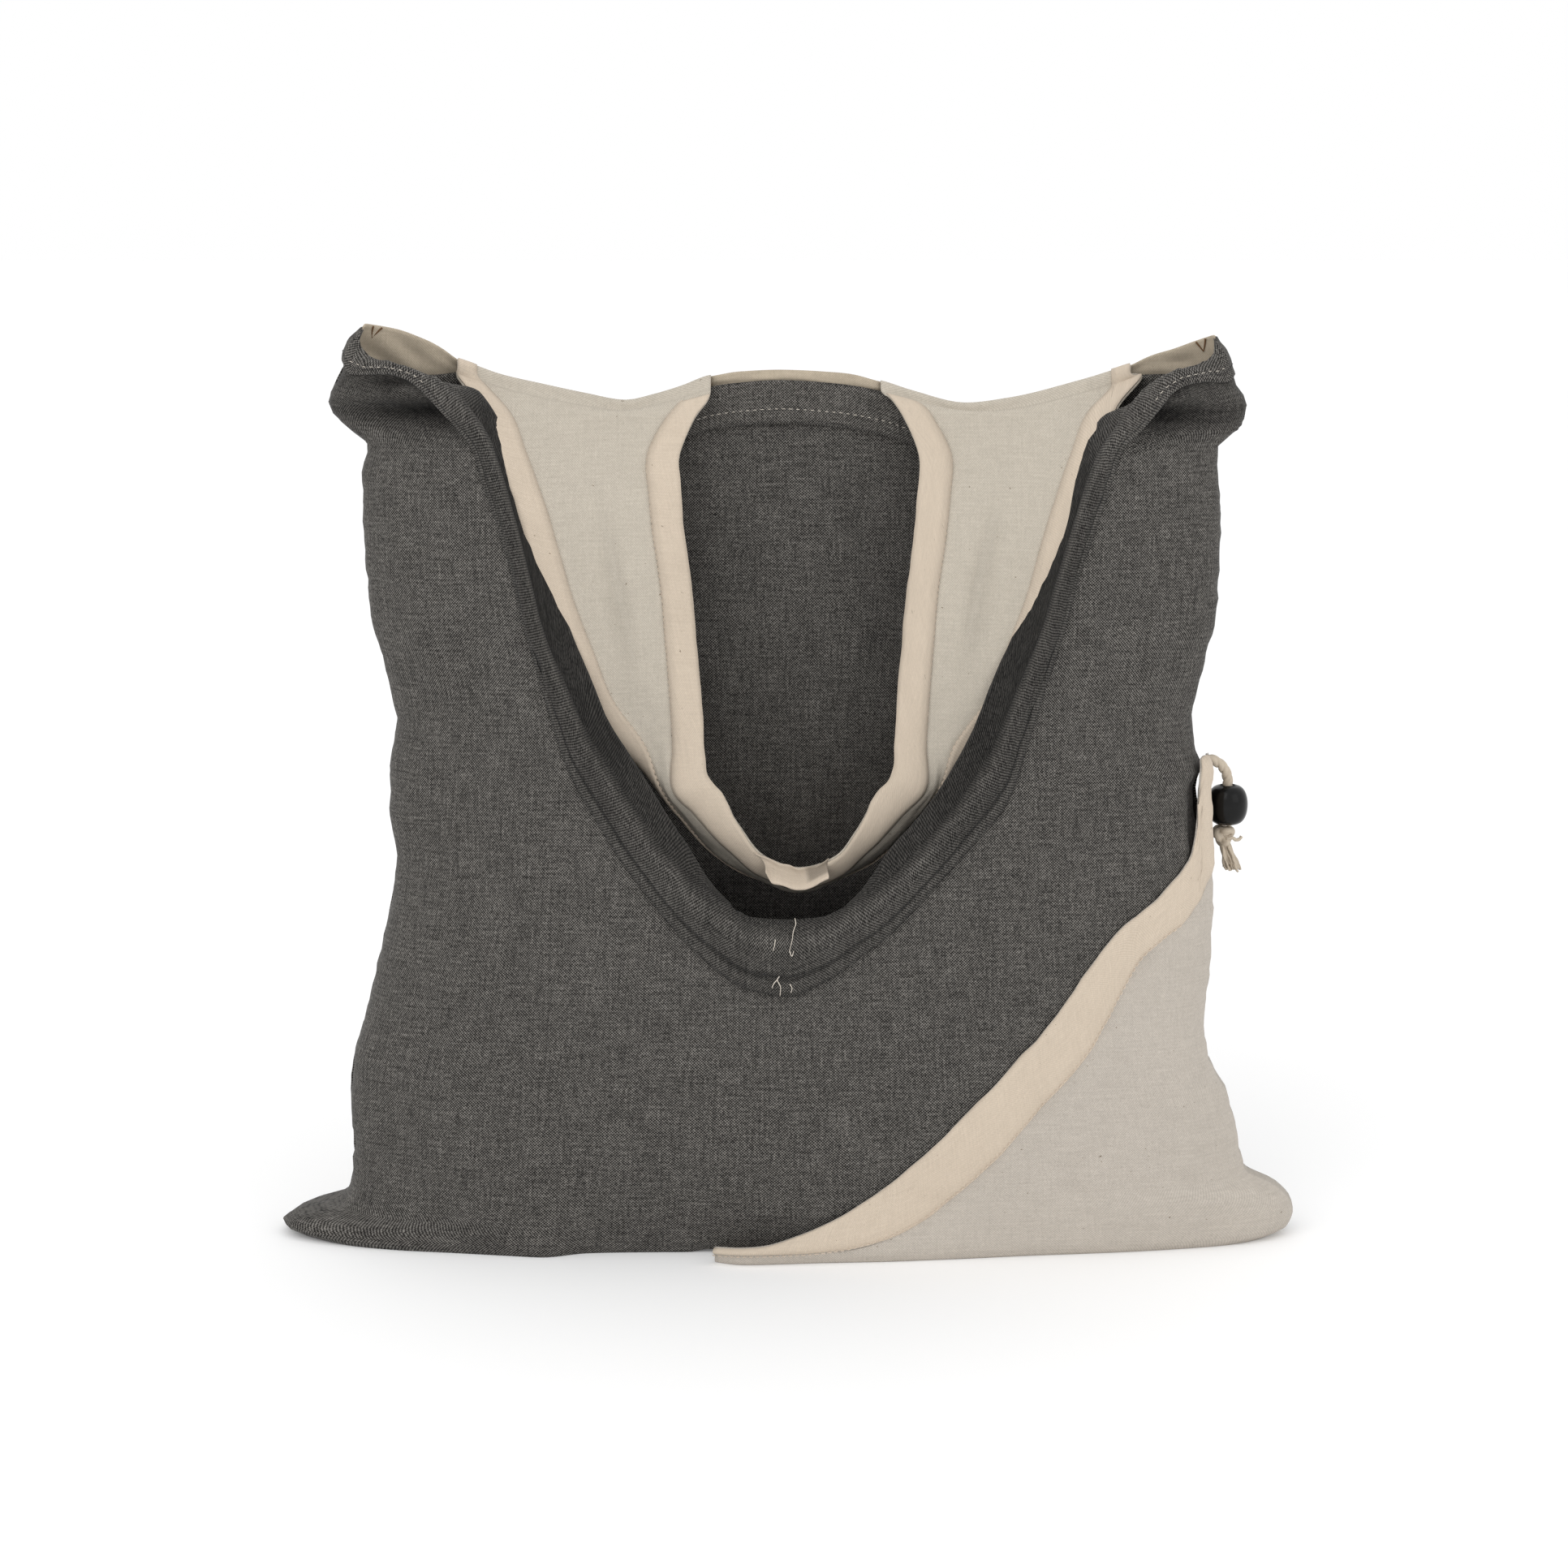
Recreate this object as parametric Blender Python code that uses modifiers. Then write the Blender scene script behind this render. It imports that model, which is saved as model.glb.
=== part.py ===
# Cotton shopping bag standing on its base. Two dark panels are sewn round the
# sides and the floor. The front one has a deep curved mouth. A natural handle
# loop is folded forward over the back panel and hangs into the mouth. A natural
# pouch covers the lower right front corner, with its draw cord and bead.
# Lengths are in metres, Z is up, the front faces -Y and the floor is Z = 0.

import bmesh
import bpy
import math
import numpy as np

base_length = 0.430        # ear tip to ear tip along the floor
side_height = 0.386        # floor to the left top corner
base_depth = 0.104         # front bulge to back bulge just above the floor

cloth = 0.0015             # dark panel cloth
light_cloth = 0.0012       # natural cloth of the handle, the pouch and the hems
layer_gap = 0.0005         # air between two layers of cloth
seam_gap = 0.0004          # air between the two halves along a seam
seam_edge = 0.0025         # blunt width that a panel keeps where it meets its seam
crease_radius = 0.0032     # outer radius of the handle's fold over the back
handle_hem = 0.0132        # width of the turned hem along each handle edge
back_hem_width = 0.0180    # dark hem inside the back panel's top edge
handle_centre = 0.005      # where the loop's middle hangs, to the right of centre
cord_diameter = 0.0044
bead_diameter = 0.0172
bead_height = 0.0168
bead_bore = 0.0054
knot_diameter = 0.0092

half_length = base_length / 2


def table(columns, rows):
    return {name: np.array([row[i] for row in rows], float) for i, name in enumerate(columns)}


# Body outline. Height is a share of side_height, left and right are shares of
# half the base length, front and back are shares of base_depth.
# Squareness is the power of the oval section at that height.
sections = table(
    ("height", "left", "right", "front", "back", "squareness"),
    [
        (0.000, 0.967, 0.953, 0.404, 0.442, 2.6),
        (0.010, 1.000, 0.984, 0.423, 0.481, 2.6),
        (0.023, 0.967, 0.988, 0.433, 0.490, 2.6),
        (0.036, 0.884, 0.981, 0.438, 0.495, 2.7),
        (0.052, 0.867, 0.953, 0.442, 0.500, 2.8),
        (0.073, 0.860, 0.893, 0.442, 0.500, 2.9),
        (0.104, 0.856, 0.884, 0.442, 0.500, 3.0),
        (0.155, 0.860, 0.862, 0.438, 0.500, 3.1),
        (0.202, 0.851, 0.820, 0.433, 0.490, 3.2),
        (0.246, 0.828, 0.810, 0.423, 0.481, 3.2),
        (0.306, 0.800, 0.821, 0.413, 0.466, 3.2),
        (0.376, 0.772, 0.823, 0.404, 0.452, 3.2),
        (0.427, 0.760, 0.816, 0.394, 0.438, 3.2),
        (0.472, 0.772, 0.802, 0.381, 0.424, 3.2),
        (0.518, 0.772, 0.790, 0.365, 0.409, 3.2),
        (0.575, 0.758, 0.784, 0.346, 0.389, 3.1),
        (0.635, 0.779, 0.807, 0.327, 0.370, 3.0),
        (0.694, 0.805, 0.828, 0.308, 0.351, 2.9),
        (0.790, 0.814, 0.833, 0.269, 0.317, 2.8),
        (0.837, 0.814, 0.826, 0.250, 0.303, 2.7),
        (0.868, 0.802, 0.823, 0.236, 0.293, 2.6),
        (0.889, 0.847, 0.870, 0.236, 0.288, 2.6),
        (0.912, 0.879, 0.879, 0.250, 0.284, 2.6),
        (0.933, 0.867, 0.858, 0.240, 0.269, 2.6),
        (0.953, 0.849, 0.844, 0.212, 0.250, 2.6),
        (0.979, 0.835, 0.828, 0.173, 0.221, 2.6),
        (1.000, 0.809, 0.809, 0.135, 0.192, 2.6),
    ],
)

# Half width of the body away from its side seams. The seams flare out to ears at
# the floor and at the top corners, and draw in between them.
core = table(
    ("height", "half"),
    [
        (0.000, 0.862),
        (0.104, 0.858),
        (0.246, 0.820),
        (0.427, 0.770),
        (0.575, 0.760),
        (0.700, 0.800),
        (0.803, 0.812),
        (1.000, 0.812),
    ],
)

# Mouth of the front panel: the rim's height and the lower line of its hem, as
# shares of side_height, by the place across the bag (-1 left seam, 1 right seam).
mouth = table(
    ("across", "rim", "hem_line"),
    [
        (-1.000, 0.992, 0.955),
        (-0.975, 0.972, 0.938),
        (-0.940, 0.961, 0.940),
        (-0.900, 0.957, 0.941),
        (-0.860, 0.951, 0.935),
        (-0.820, 0.944, 0.921),
        (-0.790, 0.937, 0.906),
        (-0.757, 0.925, 0.880),
        (-0.724, 0.902, 0.848),
        (-0.700, 0.868, 0.822),
        (-0.680, 0.845, 0.798),
        (-0.650, 0.800, 0.750),
        (-0.620, 0.743, 0.672),
        (-0.592, 0.676, 0.596),
        (-0.560, 0.628, 0.549),
        (-0.525, 0.583, 0.516),
        (-0.468, 0.544, 0.475),
        (-0.406, 0.503, 0.434),
        (-0.319, 0.448, 0.386),
        (-0.233, 0.412, 0.344),
        (-0.162, 0.391, 0.317),
        (-0.090, 0.371, 0.298),
        (0.000, 0.368, 0.292),
        (0.090, 0.372, 0.308),
        (0.165, 0.389, 0.331),
        (0.258, 0.415, 0.362),
        (0.336, 0.448, 0.396),
        (0.416, 0.486, 0.433),
        (0.480, 0.525, 0.464),
        (0.545, 0.577, 0.497),
        (0.580, 0.622, 0.538),
        (0.612, 0.672, 0.582),
        (0.645, 0.738, 0.655),
        (0.680, 0.795, 0.738),
        (0.715, 0.845, 0.790),
        (0.745, 0.876, 0.824),
        (0.770, 0.903, 0.852),
        (0.800, 0.923, 0.880),
        (0.835, 0.937, 0.905),
        (0.870, 0.946, 0.922),
        (0.905, 0.951, 0.930),
        (0.945, 0.956, 0.932),
        (0.978, 0.966, 0.930),
        (1.000, 0.982, 0.940),
    ],
)

# Back panel: the height of its top seam and of the handle cloth's upper line,
# which is the fold over the back in the two legs and a free edge elsewhere.
back_top = table(
    ("across", "seam", "upper"),
    [
        (-1.000, 0.951, 0.997),
        (-0.912, 0.943, 0.989),
        (-0.853, 0.937, 0.979),
        (-0.806, 0.938, 0.968),
        (-0.770, 0.940, 0.957),
        (-0.731, 0.936, 0.950),
        (-0.675, 0.926, 0.940),
        (-0.580, 0.915, 0.929),
        (-0.484, 0.905, 0.919),
        (-0.385, 0.897, 0.911),
        (-0.321, 0.903, 0.917),
        (-0.255, 0.912, 0.926),
        (-0.183, 0.923, 0.938),
        (-0.119, 0.927, 0.941),
        (-0.020, 0.930, 0.943),
        (0.120, 0.926, 0.940),
        (0.223, 0.918, 0.932),
        (0.300, 0.907, 0.921),
        (0.426, 0.894, 0.908),
        (0.530, 0.900, 0.914),
        (0.670, 0.917, 0.931),
        (0.800, 0.936, 0.951),
        (0.840, 0.938, 0.959),
        (0.900, 0.939, 0.968),
        (0.950, 0.941, 0.977),
        (1.000, 0.945, 0.985),
    ],
)

# Pouch: the curved upper edge and the lower line of the channel along it.
pouch_lines = table(
    ("across", "edge", "channel_line"),
    [
        (-0.160, 0.014, 0.009),
        (-0.057, 0.017, 0.010),
        (0.025, 0.028, 0.010),
        (0.115, 0.048, 0.012),
        (0.218, 0.080, 0.022),
        (0.316, 0.121, 0.046),
        (0.384, 0.152, 0.075),
        (0.453, 0.183, 0.104),
        (0.530, 0.218, 0.143),
        (0.603, 0.251, 0.178),
        (0.659, 0.281, 0.202),
        (0.712, 0.313, 0.228),
        (0.761, 0.340, 0.262),
        (0.796, 0.358, 0.292),
        (0.840, 0.378, 0.328),
        (0.880, 0.396, 0.345),
        (0.925, 0.424, 0.361),
        (0.955, 0.452, 0.374),
        (0.970, 0.488, 0.386),
        (0.988, 0.522, 0.400),
        (1.000, 0.532, 0.410),
    ],
)

# How far the front stands out at the floor (toe), and the pouch's lip beyond it
# (lip), as shares of base_depth. Both fade within the height given after them.
front_foot = table(
    ("across", "toe", "lip"),
    [
        (-1.000, 0.000, 0.000),
        (-0.950, 0.020, 0.000),
        (-0.850, 0.030, 0.000),
        (-0.730, 0.020, 0.000),
        (-0.620, 0.030, 0.000),
        (-0.550, 0.038, 0.000),
        (-0.450, -0.038, 0.000),
        (-0.330, -0.062, 0.000),
        (-0.200, -0.070, 0.100),
        (-0.110, -0.045, 0.145),
        (-0.030, -0.015, 0.110),
        (0.050, 0.000, 0.080),
        (0.210, 0.000, 0.062),
        (0.380, 0.000, 0.034),
        (0.600, 0.000, 0.003),
        (0.850, 0.000, 0.008),
        (0.940, 0.000, 0.024),
        (1.000, 0.000, 0.000),
    ],
)
toe_height = 0.030
lift_height = 0.030
lip_height = 0.016
tuck_depth = 0.0020

# How far the pouch stands off the side at its top, where the cord comes out.
pouch_flare = table(
    ("height", "out"),
    [(0.340, 0.000), (0.420, 0.004), (0.470, 0.014), (0.520, 0.030), (0.560, 0.036)],
)

# Dents pressed towards the inside: centre and half size are shares of half the
# base length (across) and of side_height (up), depth is a share of base_depth.
front_dents = table(
    ("across", "up", "half_across", "half_up", "depth"),
    [
        (-0.740, 0.884, 0.180, 0.024, 0.060),
        (0.760, 0.882, 0.170, 0.024, 0.060),
        (-0.600, 0.620, 0.050, 0.180, 0.018),
        (-0.300, 0.200, 0.180, 0.070, 0.022),
        (0.420, 0.420, 0.120, 0.080, 0.016),
        (-0.820, 0.085, 0.120, 0.030, 0.050),
    ],
)
back_dents = table(
    ("across", "up", "half_across", "half_up", "depth"),
    [
        (0.100, 0.560, 0.260, 0.120, 0.045),
        (-0.460, 0.300, 0.100, 0.160, 0.030),
        (0.480, 0.260, 0.120, 0.120, 0.026),
    ],
)

# Left leg of the handle loop from just below the fold to the loop's lowest
# point. Each row gives an outer, a middle and an inner point: out is measured
# from the loop's middle as a share of half the base length, back is a share of
# base_depth, up is a share of side_height. The right leg is its mirror image.
leg = table(
    (
        "outer_out", "outer_back", "outer_up",
        "middle_out", "middle_back", "middle_up",
        "inner_out", "inner_back", "inner_up",
    ),
    [
        (0.660, 0.12, 0.940, 0.354, 0.155, 0.900, 0.174, 0.17, 0.916),
        (0.611, 0.00, 0.910, 0.392, 0.125, 0.884, 0.202, 0.13, 0.894),
        (0.577, -0.10, 0.863, 0.394, 0.08, 0.856, 0.230, 0.09, 0.856),
        (0.546, -0.15, 0.815, 0.387, 0.00, 0.813, 0.228, 0.05, 0.815),
        (0.521, -0.17, 0.767, 0.374, -0.05, 0.766, 0.221, 0.03, 0.768),
        (0.493, -0.17, 0.707, 0.351, -0.08, 0.708, 0.208, 0.01, 0.712),
        (0.456, -0.15, 0.647, 0.328, -0.09, 0.651, 0.199, -0.02, 0.653),
        (0.422, -0.12, 0.598, 0.304, -0.09, 0.597, 0.190, -0.05, 0.598),
        (0.359, -0.08, 0.547, 0.281, -0.09, 0.545, 0.184, -0.09, 0.550),
        (0.282, 0.03, 0.507, 0.270, -0.08, 0.498, 0.177, -0.12, 0.515),
        (0.220, 0.12, 0.463, 0.219, -0.06, 0.465, 0.149, -0.12, 0.496),
        (0.145, 0.21, 0.417, 0.137, -0.03, 0.419, 0.115, -0.13, 0.460),
        (0.078, 0.25, 0.396, 0.071, -0.03, 0.397, 0.071, -0.13, 0.427),
        (0.000, 0.27, 0.382, 0.000, -0.04, 0.387, 0.000, -0.12, 0.413),
    ],
)

# Places across the bag where the sheets are divided.
front_columns = (
    [-1.0, -0.97, -0.92, -0.86, -0.80, -0.757, -0.72, -0.685, -0.65, -0.62, -0.59, -0.55]
    + [-0.49, -0.41, -0.31, -0.235, -0.16, -0.07, 0.02, 0.11, 0.21, 0.31, 0.41, 0.49]
    + [0.55, 0.585, 0.62, 0.65, 0.69, 0.73, 0.775, 0.825, 0.88, 0.935, 0.97, 1.0]
)
pouch_start = -0.16
side_columns = [0.86, 0.91, 0.955, 0.98, 1.0]
leg_shares = [0.0, 0.066, 0.131, 0.32, 0.5, 0.68, 0.869, 0.934, 1.0]
leg_start = (-0.770, 0.800)      # where the fold ends towards each tip
leg_end = (-0.183, 0.223)        # where the fold ends towards the handle's hole
left_leg = [leg_start[0] + share * (leg_end[0] - leg_start[0]) for share in leg_shares]
right_leg = [leg_end[1] + share * (leg_start[1] - leg_end[1]) for share in leg_shares]
back_columns = (
    [-1.0, -0.98, -0.95, -0.90, -0.84]
    + left_leg
    + [-0.08, 0.02, 0.12]
    + right_leg
    + side_columns
)
floor_shares = [0.0, 0.5]
low_heights = [0.0, 0.003, 0.008, 0.014, 0.020, 0.030, 0.047, 0.067, 0.088]


def ease(xs, ys, where):
    # Monotone cubic curve through the points (xs, ys).
    where = np.clip(np.asarray(where, float), xs[0], xs[-1])
    step = np.diff(xs)
    slope = np.diff(ys) / step
    tangent = np.zeros(len(xs))
    tangent[0] = slope[0]
    tangent[-1] = slope[-1]
    for i in range(1, len(xs) - 1):
        if slope[i - 1] * slope[i] > 0:
            before = 2 * step[i] + step[i - 1]
            after = step[i] + 2 * step[i - 1]
            tangent[i] = (before + after) / (before / slope[i - 1] + after / slope[i])
    i = np.clip(np.searchsorted(xs, where) - 1, 0, len(step) - 1)
    t = (where - xs[i]) / step[i]
    return (
        (2 * t**3 - 3 * t**2 + 1) * ys[i]
        + (t**3 - 2 * t**2 + t) * step[i] * tangent[i]
        + (3 * t**2 - 2 * t**3) * ys[i + 1]
        + (t**3 - t**2) * step[i] * tangent[i + 1]
    )


def read(source, key, where, by="across"):
    return ease(source[by], source[key], where)


def smooth_step(low, high, where):
    t = np.clip((where - low) / (high - low), 0, 1)
    return t * t * (3 - 2 * t)


def body_point(across, height, facing, lip=False, inset=0.0):
    # A point of the bag's outer face. Facing is -1 for the front and 1 for the
    # back; inset moves the point inwards along the section's own normal.
    share = height / side_height
    side = "left" if across < 0 else "right"
    half = read(core, "half", share, "height")
    half = half + (read(sections, side, share, "height") - half) * across**4
    if lip:
        half = half + read(pouch_flare, "out", share, "height")
    elif facing < 0:
        inset = inset + pouch_tuck(across, height)
    half = half * half_length
    depth = read(sections, "front" if facing < 0 else "back", share, "height") * base_depth
    power = read(sections, "squareness", share, "height")
    reach = abs(across)
    bulge = max(0.0, 1 - reach**power) ** (1 / power)
    x = half * across
    dents = front_dents if facing < 0 else back_dents
    pressed = 0.0
    for i in range(len(dents["depth"])):
        u = (x / half_length - dents["across"][i]) / dents["half_across"][i]
        v = (share - dents["up"][i]) / dents["half_up"][i]
        pressed += dents["depth"][i] * base_depth * math.exp(-u * u - v * v)
    depth = depth - pressed
    if facing < 0:
        depth = depth + read(front_foot, "toe", across) * base_depth * math.exp(-((height / toe_height) ** 2))
    if lip:
        depth = depth + read(front_foot, "lip", across) * base_depth * math.exp(-((height / lip_height) ** 2))
    y = seam_edge + (depth - seam_edge) * bulge
    normal_x = math.copysign(reach ** (power - 1), across) / half
    normal_y = bulge ** (power - 1) / depth
    size = math.hypot(normal_x, normal_y)
    return np.array([x - inset * normal_x / size, facing * (y - inset * normal_y / size), height])


def pouch_tuck(across, height):
    # The front panel lies a little deeper where the pouch covers it.
    if across < pouch_start:
        return 0.0
    covered = read(pouch_lines, "edge", across) * side_height - height
    return tuck_depth * smooth_step(0.0, 0.012, covered) * smooth_step(0.0, 0.020, height)


def floor_lift(across):
    # The front panel is raised where the pouch runs beneath it.
    return (layer_gap + light_cloth) * smooth_step(pouch_start - 0.07, pouch_start - 0.01, across)


def body_column(across, heights, facing, lip=False):
    # One strip of points from the floor seam outwards and up the side.
    points = []
    lift = floor_lift(across) if facing < 0 else 0.0
    foot = body_point(across, 0.0, facing, lip)
    for share in floor_shares:
        share = 0.0 if abs(across) == 1 else share
        y = facing * seam_gap / 2 * (1 - share) + foot[1] * share
        points.append(np.array([foot[0], y, lift]))
    for height in heights:
        point = body_point(across, height, facing, lip)
        point[2] += lift * max(0.0, 1 - height / lift_height)
        points.append(point)
    return points


def seam_column(points, facing):
    # The same strip moved to the seam plane, which closes the blunt edge.
    return [np.array([p[0], facing * seam_gap / 2, p[2]]) for p in points]


def front_heights(across):
    rim = read(mouth, "rim", across) * side_height
    line = read(mouth, "hem_line", across) * side_height
    start = low_heights[-1]
    rising = [start + (line - start) * (1 - (1 - k / 9) ** 1.2) for k in range(1, 10)]
    band = [line + (rim - line) * k / 2 for k in range(1, 3)]
    return low_heights + rising + band


def back_heights(across):
    seam = read(back_top, "seam", across) * side_height
    start = low_heights[-1]
    line = seam - back_hem_width
    rising = [start + (line - start) * (1 - (1 - k / 7) ** 1.15) for k in range(1, 8)]
    return low_heights + rising + [seam - back_hem_width / 2, seam]


def pouch_heights(across):
    # Where the channel line is high enough the pouch shares the panel's rows.
    edge = read(pouch_lines, "edge", across) * side_height
    line = read(pouch_lines, "channel_line", across) * side_height
    if line > low_heights[-1] + 0.006:
        shared = 9
    elif line > low_heights[5] + 0.006:
        shared = 6
    else:
        shared = 1
    start = low_heights[shared - 1]
    steps = 12 - shared
    rising = [start + (line - start) * k / steps for k in range(1, steps + 1)]
    band = [line + (edge - line) * k / 2 for k in range(1, 3)]
    return low_heights[:shared] + rising + band


def grid_of(columns, heights_at, facing, lip=False, seams=(True, True)):
    strips = [body_column(s, heights_at(s), facing, lip) for s in columns]
    if seams[0]:
        strips = [seam_column(strips[0], facing)] + strips
    if seams[1]:
        strips = strips + [seam_column(strips[-1], facing)]
    return strips


def cells_of(strips, first, last, facing):
    # Four-sided cells between neighbouring strips, wound to face outwards.
    cells = []
    for j in range(len(strips) - 1):
        for i in range(first, last):
            a, b = strips[j][i], strips[j + 1][i]
            c, d = strips[j + 1][i + 1], strips[j][i + 1]
            cells.append((a, b, c, d) if facing < 0 else (d, c, b, a))
    return cells


def material(name, colour, roughness, metallic=0.0):
    made = bpy.data.materials.new(name)
    made.use_nodes = True
    shader = made.node_tree.nodes["Principled BSDF"]
    shader.inputs["Base Color"].default_value = (*colour, 1.0)
    shader.inputs["Roughness"].default_value = roughness
    shader.inputs["Metallic"].default_value = metallic
    return made


def put_in_bag(thing, name, look):
    thing.name = name
    thing.data.name = name
    thing.data.materials.clear()
    thing.data.materials.append(look)
    for group in list(thing.users_collection):
        group.objects.unlink(thing)
    bag.objects.link(thing)
    return thing


def corner_key(point):
    return tuple(round(float(value), 7) for value in point)


def raised(chosen, whole, distance):
    # The chosen cells moved off the sheet that they lie on, along the normals of
    # the whole sheet. A distance below zero moves them to its inner side.
    normals = {}
    for a, b, c, d in whole:
        normal = np.cross(c - a, d - b)
        size = np.linalg.norm(normal)
        if size > 0:
            for key in {corner_key(point) for point in (a, b, c, d)}:
                normals[key] = normals.get(key, 0) + normal / size
    moved = []
    for cell in chosen:
        corners = []
        for point in cell:
            normal = normals[corner_key(point)]
            corners.append(point + distance * normal / np.linalg.norm(normal))
        moved.append(tuple(corners))
    return moved


def cloth_sheet(name, cells, thickness, side, look):
    # A sheet of cells given a thickness. Side is 1 where the cloth lies on the
    # outer side of the drawn face and -1 where it lies on the inner side.
    sheet = bmesh.new()
    found = {}
    for cell in cells:
        corners = []
        for point in cell:
            key = corner_key(point)
            if key not in found:
                found[key] = sheet.verts.new(key)
            if found[key] not in corners:
                corners.append(found[key])
        if len(corners) > 2:
            sheet.faces.new(corners)
    mesh = bpy.data.meshes.new(name)
    sheet.to_mesh(mesh)
    sheet.free()
    thing = bpy.data.objects.new(name, mesh)
    bag.objects.link(thing)
    shell = thing.modifiers.new("cloth", "SOLIDIFY")
    shell.thickness = thickness
    shell.offset = side
    shell.use_even_offset = False
    shell.use_rim = True
    for face in mesh.polygons:
        face.use_smooth = True
    return put_in_bag(thing, name, look)


for thing in list(bpy.data.objects):
    bpy.data.objects.remove(thing, do_unlink=True)

bag = bpy.data.collections.new("cotton_shopping_bag")
bpy.context.scene.collection.children.link(bag)

dark_cotton = material("dark_cotton", (0.060, 0.061, 0.062), 0.92)
natural_cotton = material("natural_cotton", (0.590, 0.555, 0.490), 0.90)
hem_cotton = material("hem_cotton", (0.720, 0.620, 0.510), 0.90)
pouch_cotton = material("pouch_cotton", (0.560, 0.510, 0.450), 0.90)
black_gloss = material("black_gloss", (0.012, 0.012, 0.013), 0.22)
cord_cotton = material("cord_cotton", (0.660, 0.590, 0.480), 0.92)

# Dark panels and the hem round the mouth.
front_strips = grid_of(front_columns, front_heights, -1)
front_rows = len(front_strips[0])
front_cells = cells_of(front_strips, 0, front_rows - 1, -1)
mouth_cells = cells_of(front_strips, front_rows - 3, front_rows - 1, -1)
front_panel = cloth_sheet("front_panel", front_cells, cloth, -1, dark_cotton)
mouth_hem = cloth_sheet(
    "mouth_hem", raised(mouth_cells, front_cells, layer_gap), cloth, 1, dark_cotton
)
back_strips = grid_of(back_columns, back_heights, 1)
back_rows = len(back_strips[0])
back_cells = cells_of(back_strips, 0, back_rows - 1, 1)
back_panel = cloth_sheet("back_panel", back_cells, cloth, -1, dark_cotton)

# Pouch and its channel hem over the lower right front corner.
pouch_columns = [s for s in front_columns if s >= pouch_start]
pouch_strips = grid_of(pouch_columns, pouch_heights, -1, lip=True, seams=(False, True))
pouch_rows = len(pouch_strips[0])
pouch_cells = cells_of(pouch_strips, 0, pouch_rows - 1, -1)
channel_cells = cells_of(pouch_strips, pouch_rows - 3, pouch_rows - 1, -1)
pouch = cloth_sheet(
    "pouch", raised(pouch_cells, pouch_cells, layer_gap), light_cloth, 1, pouch_cotton
)
pouch_hem = cloth_sheet(
    "pouch_hem",
    raised(channel_cells, pouch_cells, 2 * layer_gap + light_cloth),
    light_cloth,
    1,
    hem_cotton,
)

# Dark hem inside the back panel's top edge. The handle cloth's foot lies between
# the two.
riser_inset = cloth + layer_gap
back_hem_cells = cells_of(back_strips[2:-2], back_rows - 3, back_rows - 1, 1)
back_hem = cloth_sheet(
    "back_hem",
    raised(back_hem_cells, back_cells, -(riser_inset + light_cloth + layer_gap)),
    cloth,
    -1,
    dark_cotton,
)


# Handle cloth: it rises from the back seam, turns over the fold in the two legs
# and hangs forward as one loop round an open hole.
def riser_strip(across):
    seam = read(back_top, "seam", across) * side_height
    upper = read(back_top, "upper", across) * side_height
    heights = [seam - back_hem_width / 2, seam + 0.001, max(upper - crease_radius, seam + 0.0018)]
    return [body_point(across, height, 1, inset=riser_inset) for height in heights]


def fold_strip(top):
    # Points round the fold, from its back to the start of the hanging leg.
    points = []
    for angle in (45, 90, 135, 180):
        turn = math.radians(angle)
        y = top[1] - crease_radius + crease_radius * math.cos(turn)
        z = top[2] + crease_radius * math.sin(turn)
        points.append(np.array([top[0], y, z]))
    return points


def leg_row(row, side):
    # One line of points across a leg, outer edge first. The two hems keep their
    # width unless the leg is too narrow for them.
    ends = []
    for part in ("outer", "middle", "inner"):
        x = handle_centre + side * leg[part + "_out"][row] * half_length
        ends.append(np.array([x, leg[part + "_back"][row] * base_depth, leg[part + "_up"][row] * side_height]))
    outer, middle, inner = ends
    width = np.linalg.norm(outer - middle) + np.linalg.norm(middle - inner)
    turn = np.linalg.norm(outer - middle) / width
    hem = min(handle_hem / width, 0.40)
    places = [0, hem / 2, hem, hem + (1 - 2 * hem) * 0.26, 0.5, 1 - hem - (1 - 2 * hem) * 0.26]
    places = places + [1 - hem, 1 - hem / 2, 1]
    points = []
    for u in places:
        points.append(
            outer * (u - turn) * (u - 1) / turn
            + middle * u * (u - 1) / (turn * (turn - 1))
            + inner * u * (u - turn) / (1 - turn)
        )
    return points


riser_strips = [riser_strip(s) for s in back_columns]
riser_strips = [seam_column(riser_strips[0], 1)] + riser_strips + [seam_column(riser_strips[-1], 1)]
leg_width = len(leg_shares)
left_first = back_columns.index(left_leg[0]) + 1
right_first = back_columns.index(right_leg[0]) + 1
leg_rows = len(leg["outer_out"])
left_rows = [leg_row(row, -1) for row in range(leg_rows)]
right_rows = [leg_row(row, 1)[::-1] for row in range(leg_rows)]

handle_strips = []
for j, strip in enumerate(riser_strips):
    column = list(strip)
    if left_first <= j < left_first + leg_width:
        column = column + fold_strip(strip[-1]) + [row[j - left_first] for row in left_rows]
    if right_first <= j < right_first + leg_width:
        column = column + fold_strip(strip[-1]) + [row[j - right_first] for row in right_rows]
    handle_strips.append(column)


def handle_cells(first_column, last_column, first_row, last_row):
    cells = []
    for j in range(first_column, last_column):
        left, right = handle_strips[j], handle_strips[j + 1]
        rows = min(len(left), len(right), last_row + 1)
        for i in range(first_row, rows - 1):
            cells.append((left[i + 1], right[i + 1], right[i], left[i]))
    return cells


every_row = len(handle_strips[left_first])
left_last = left_first + leg_width - 1
right_last = right_first + leg_width - 1
last_strip = len(handle_strips) - 1

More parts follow.
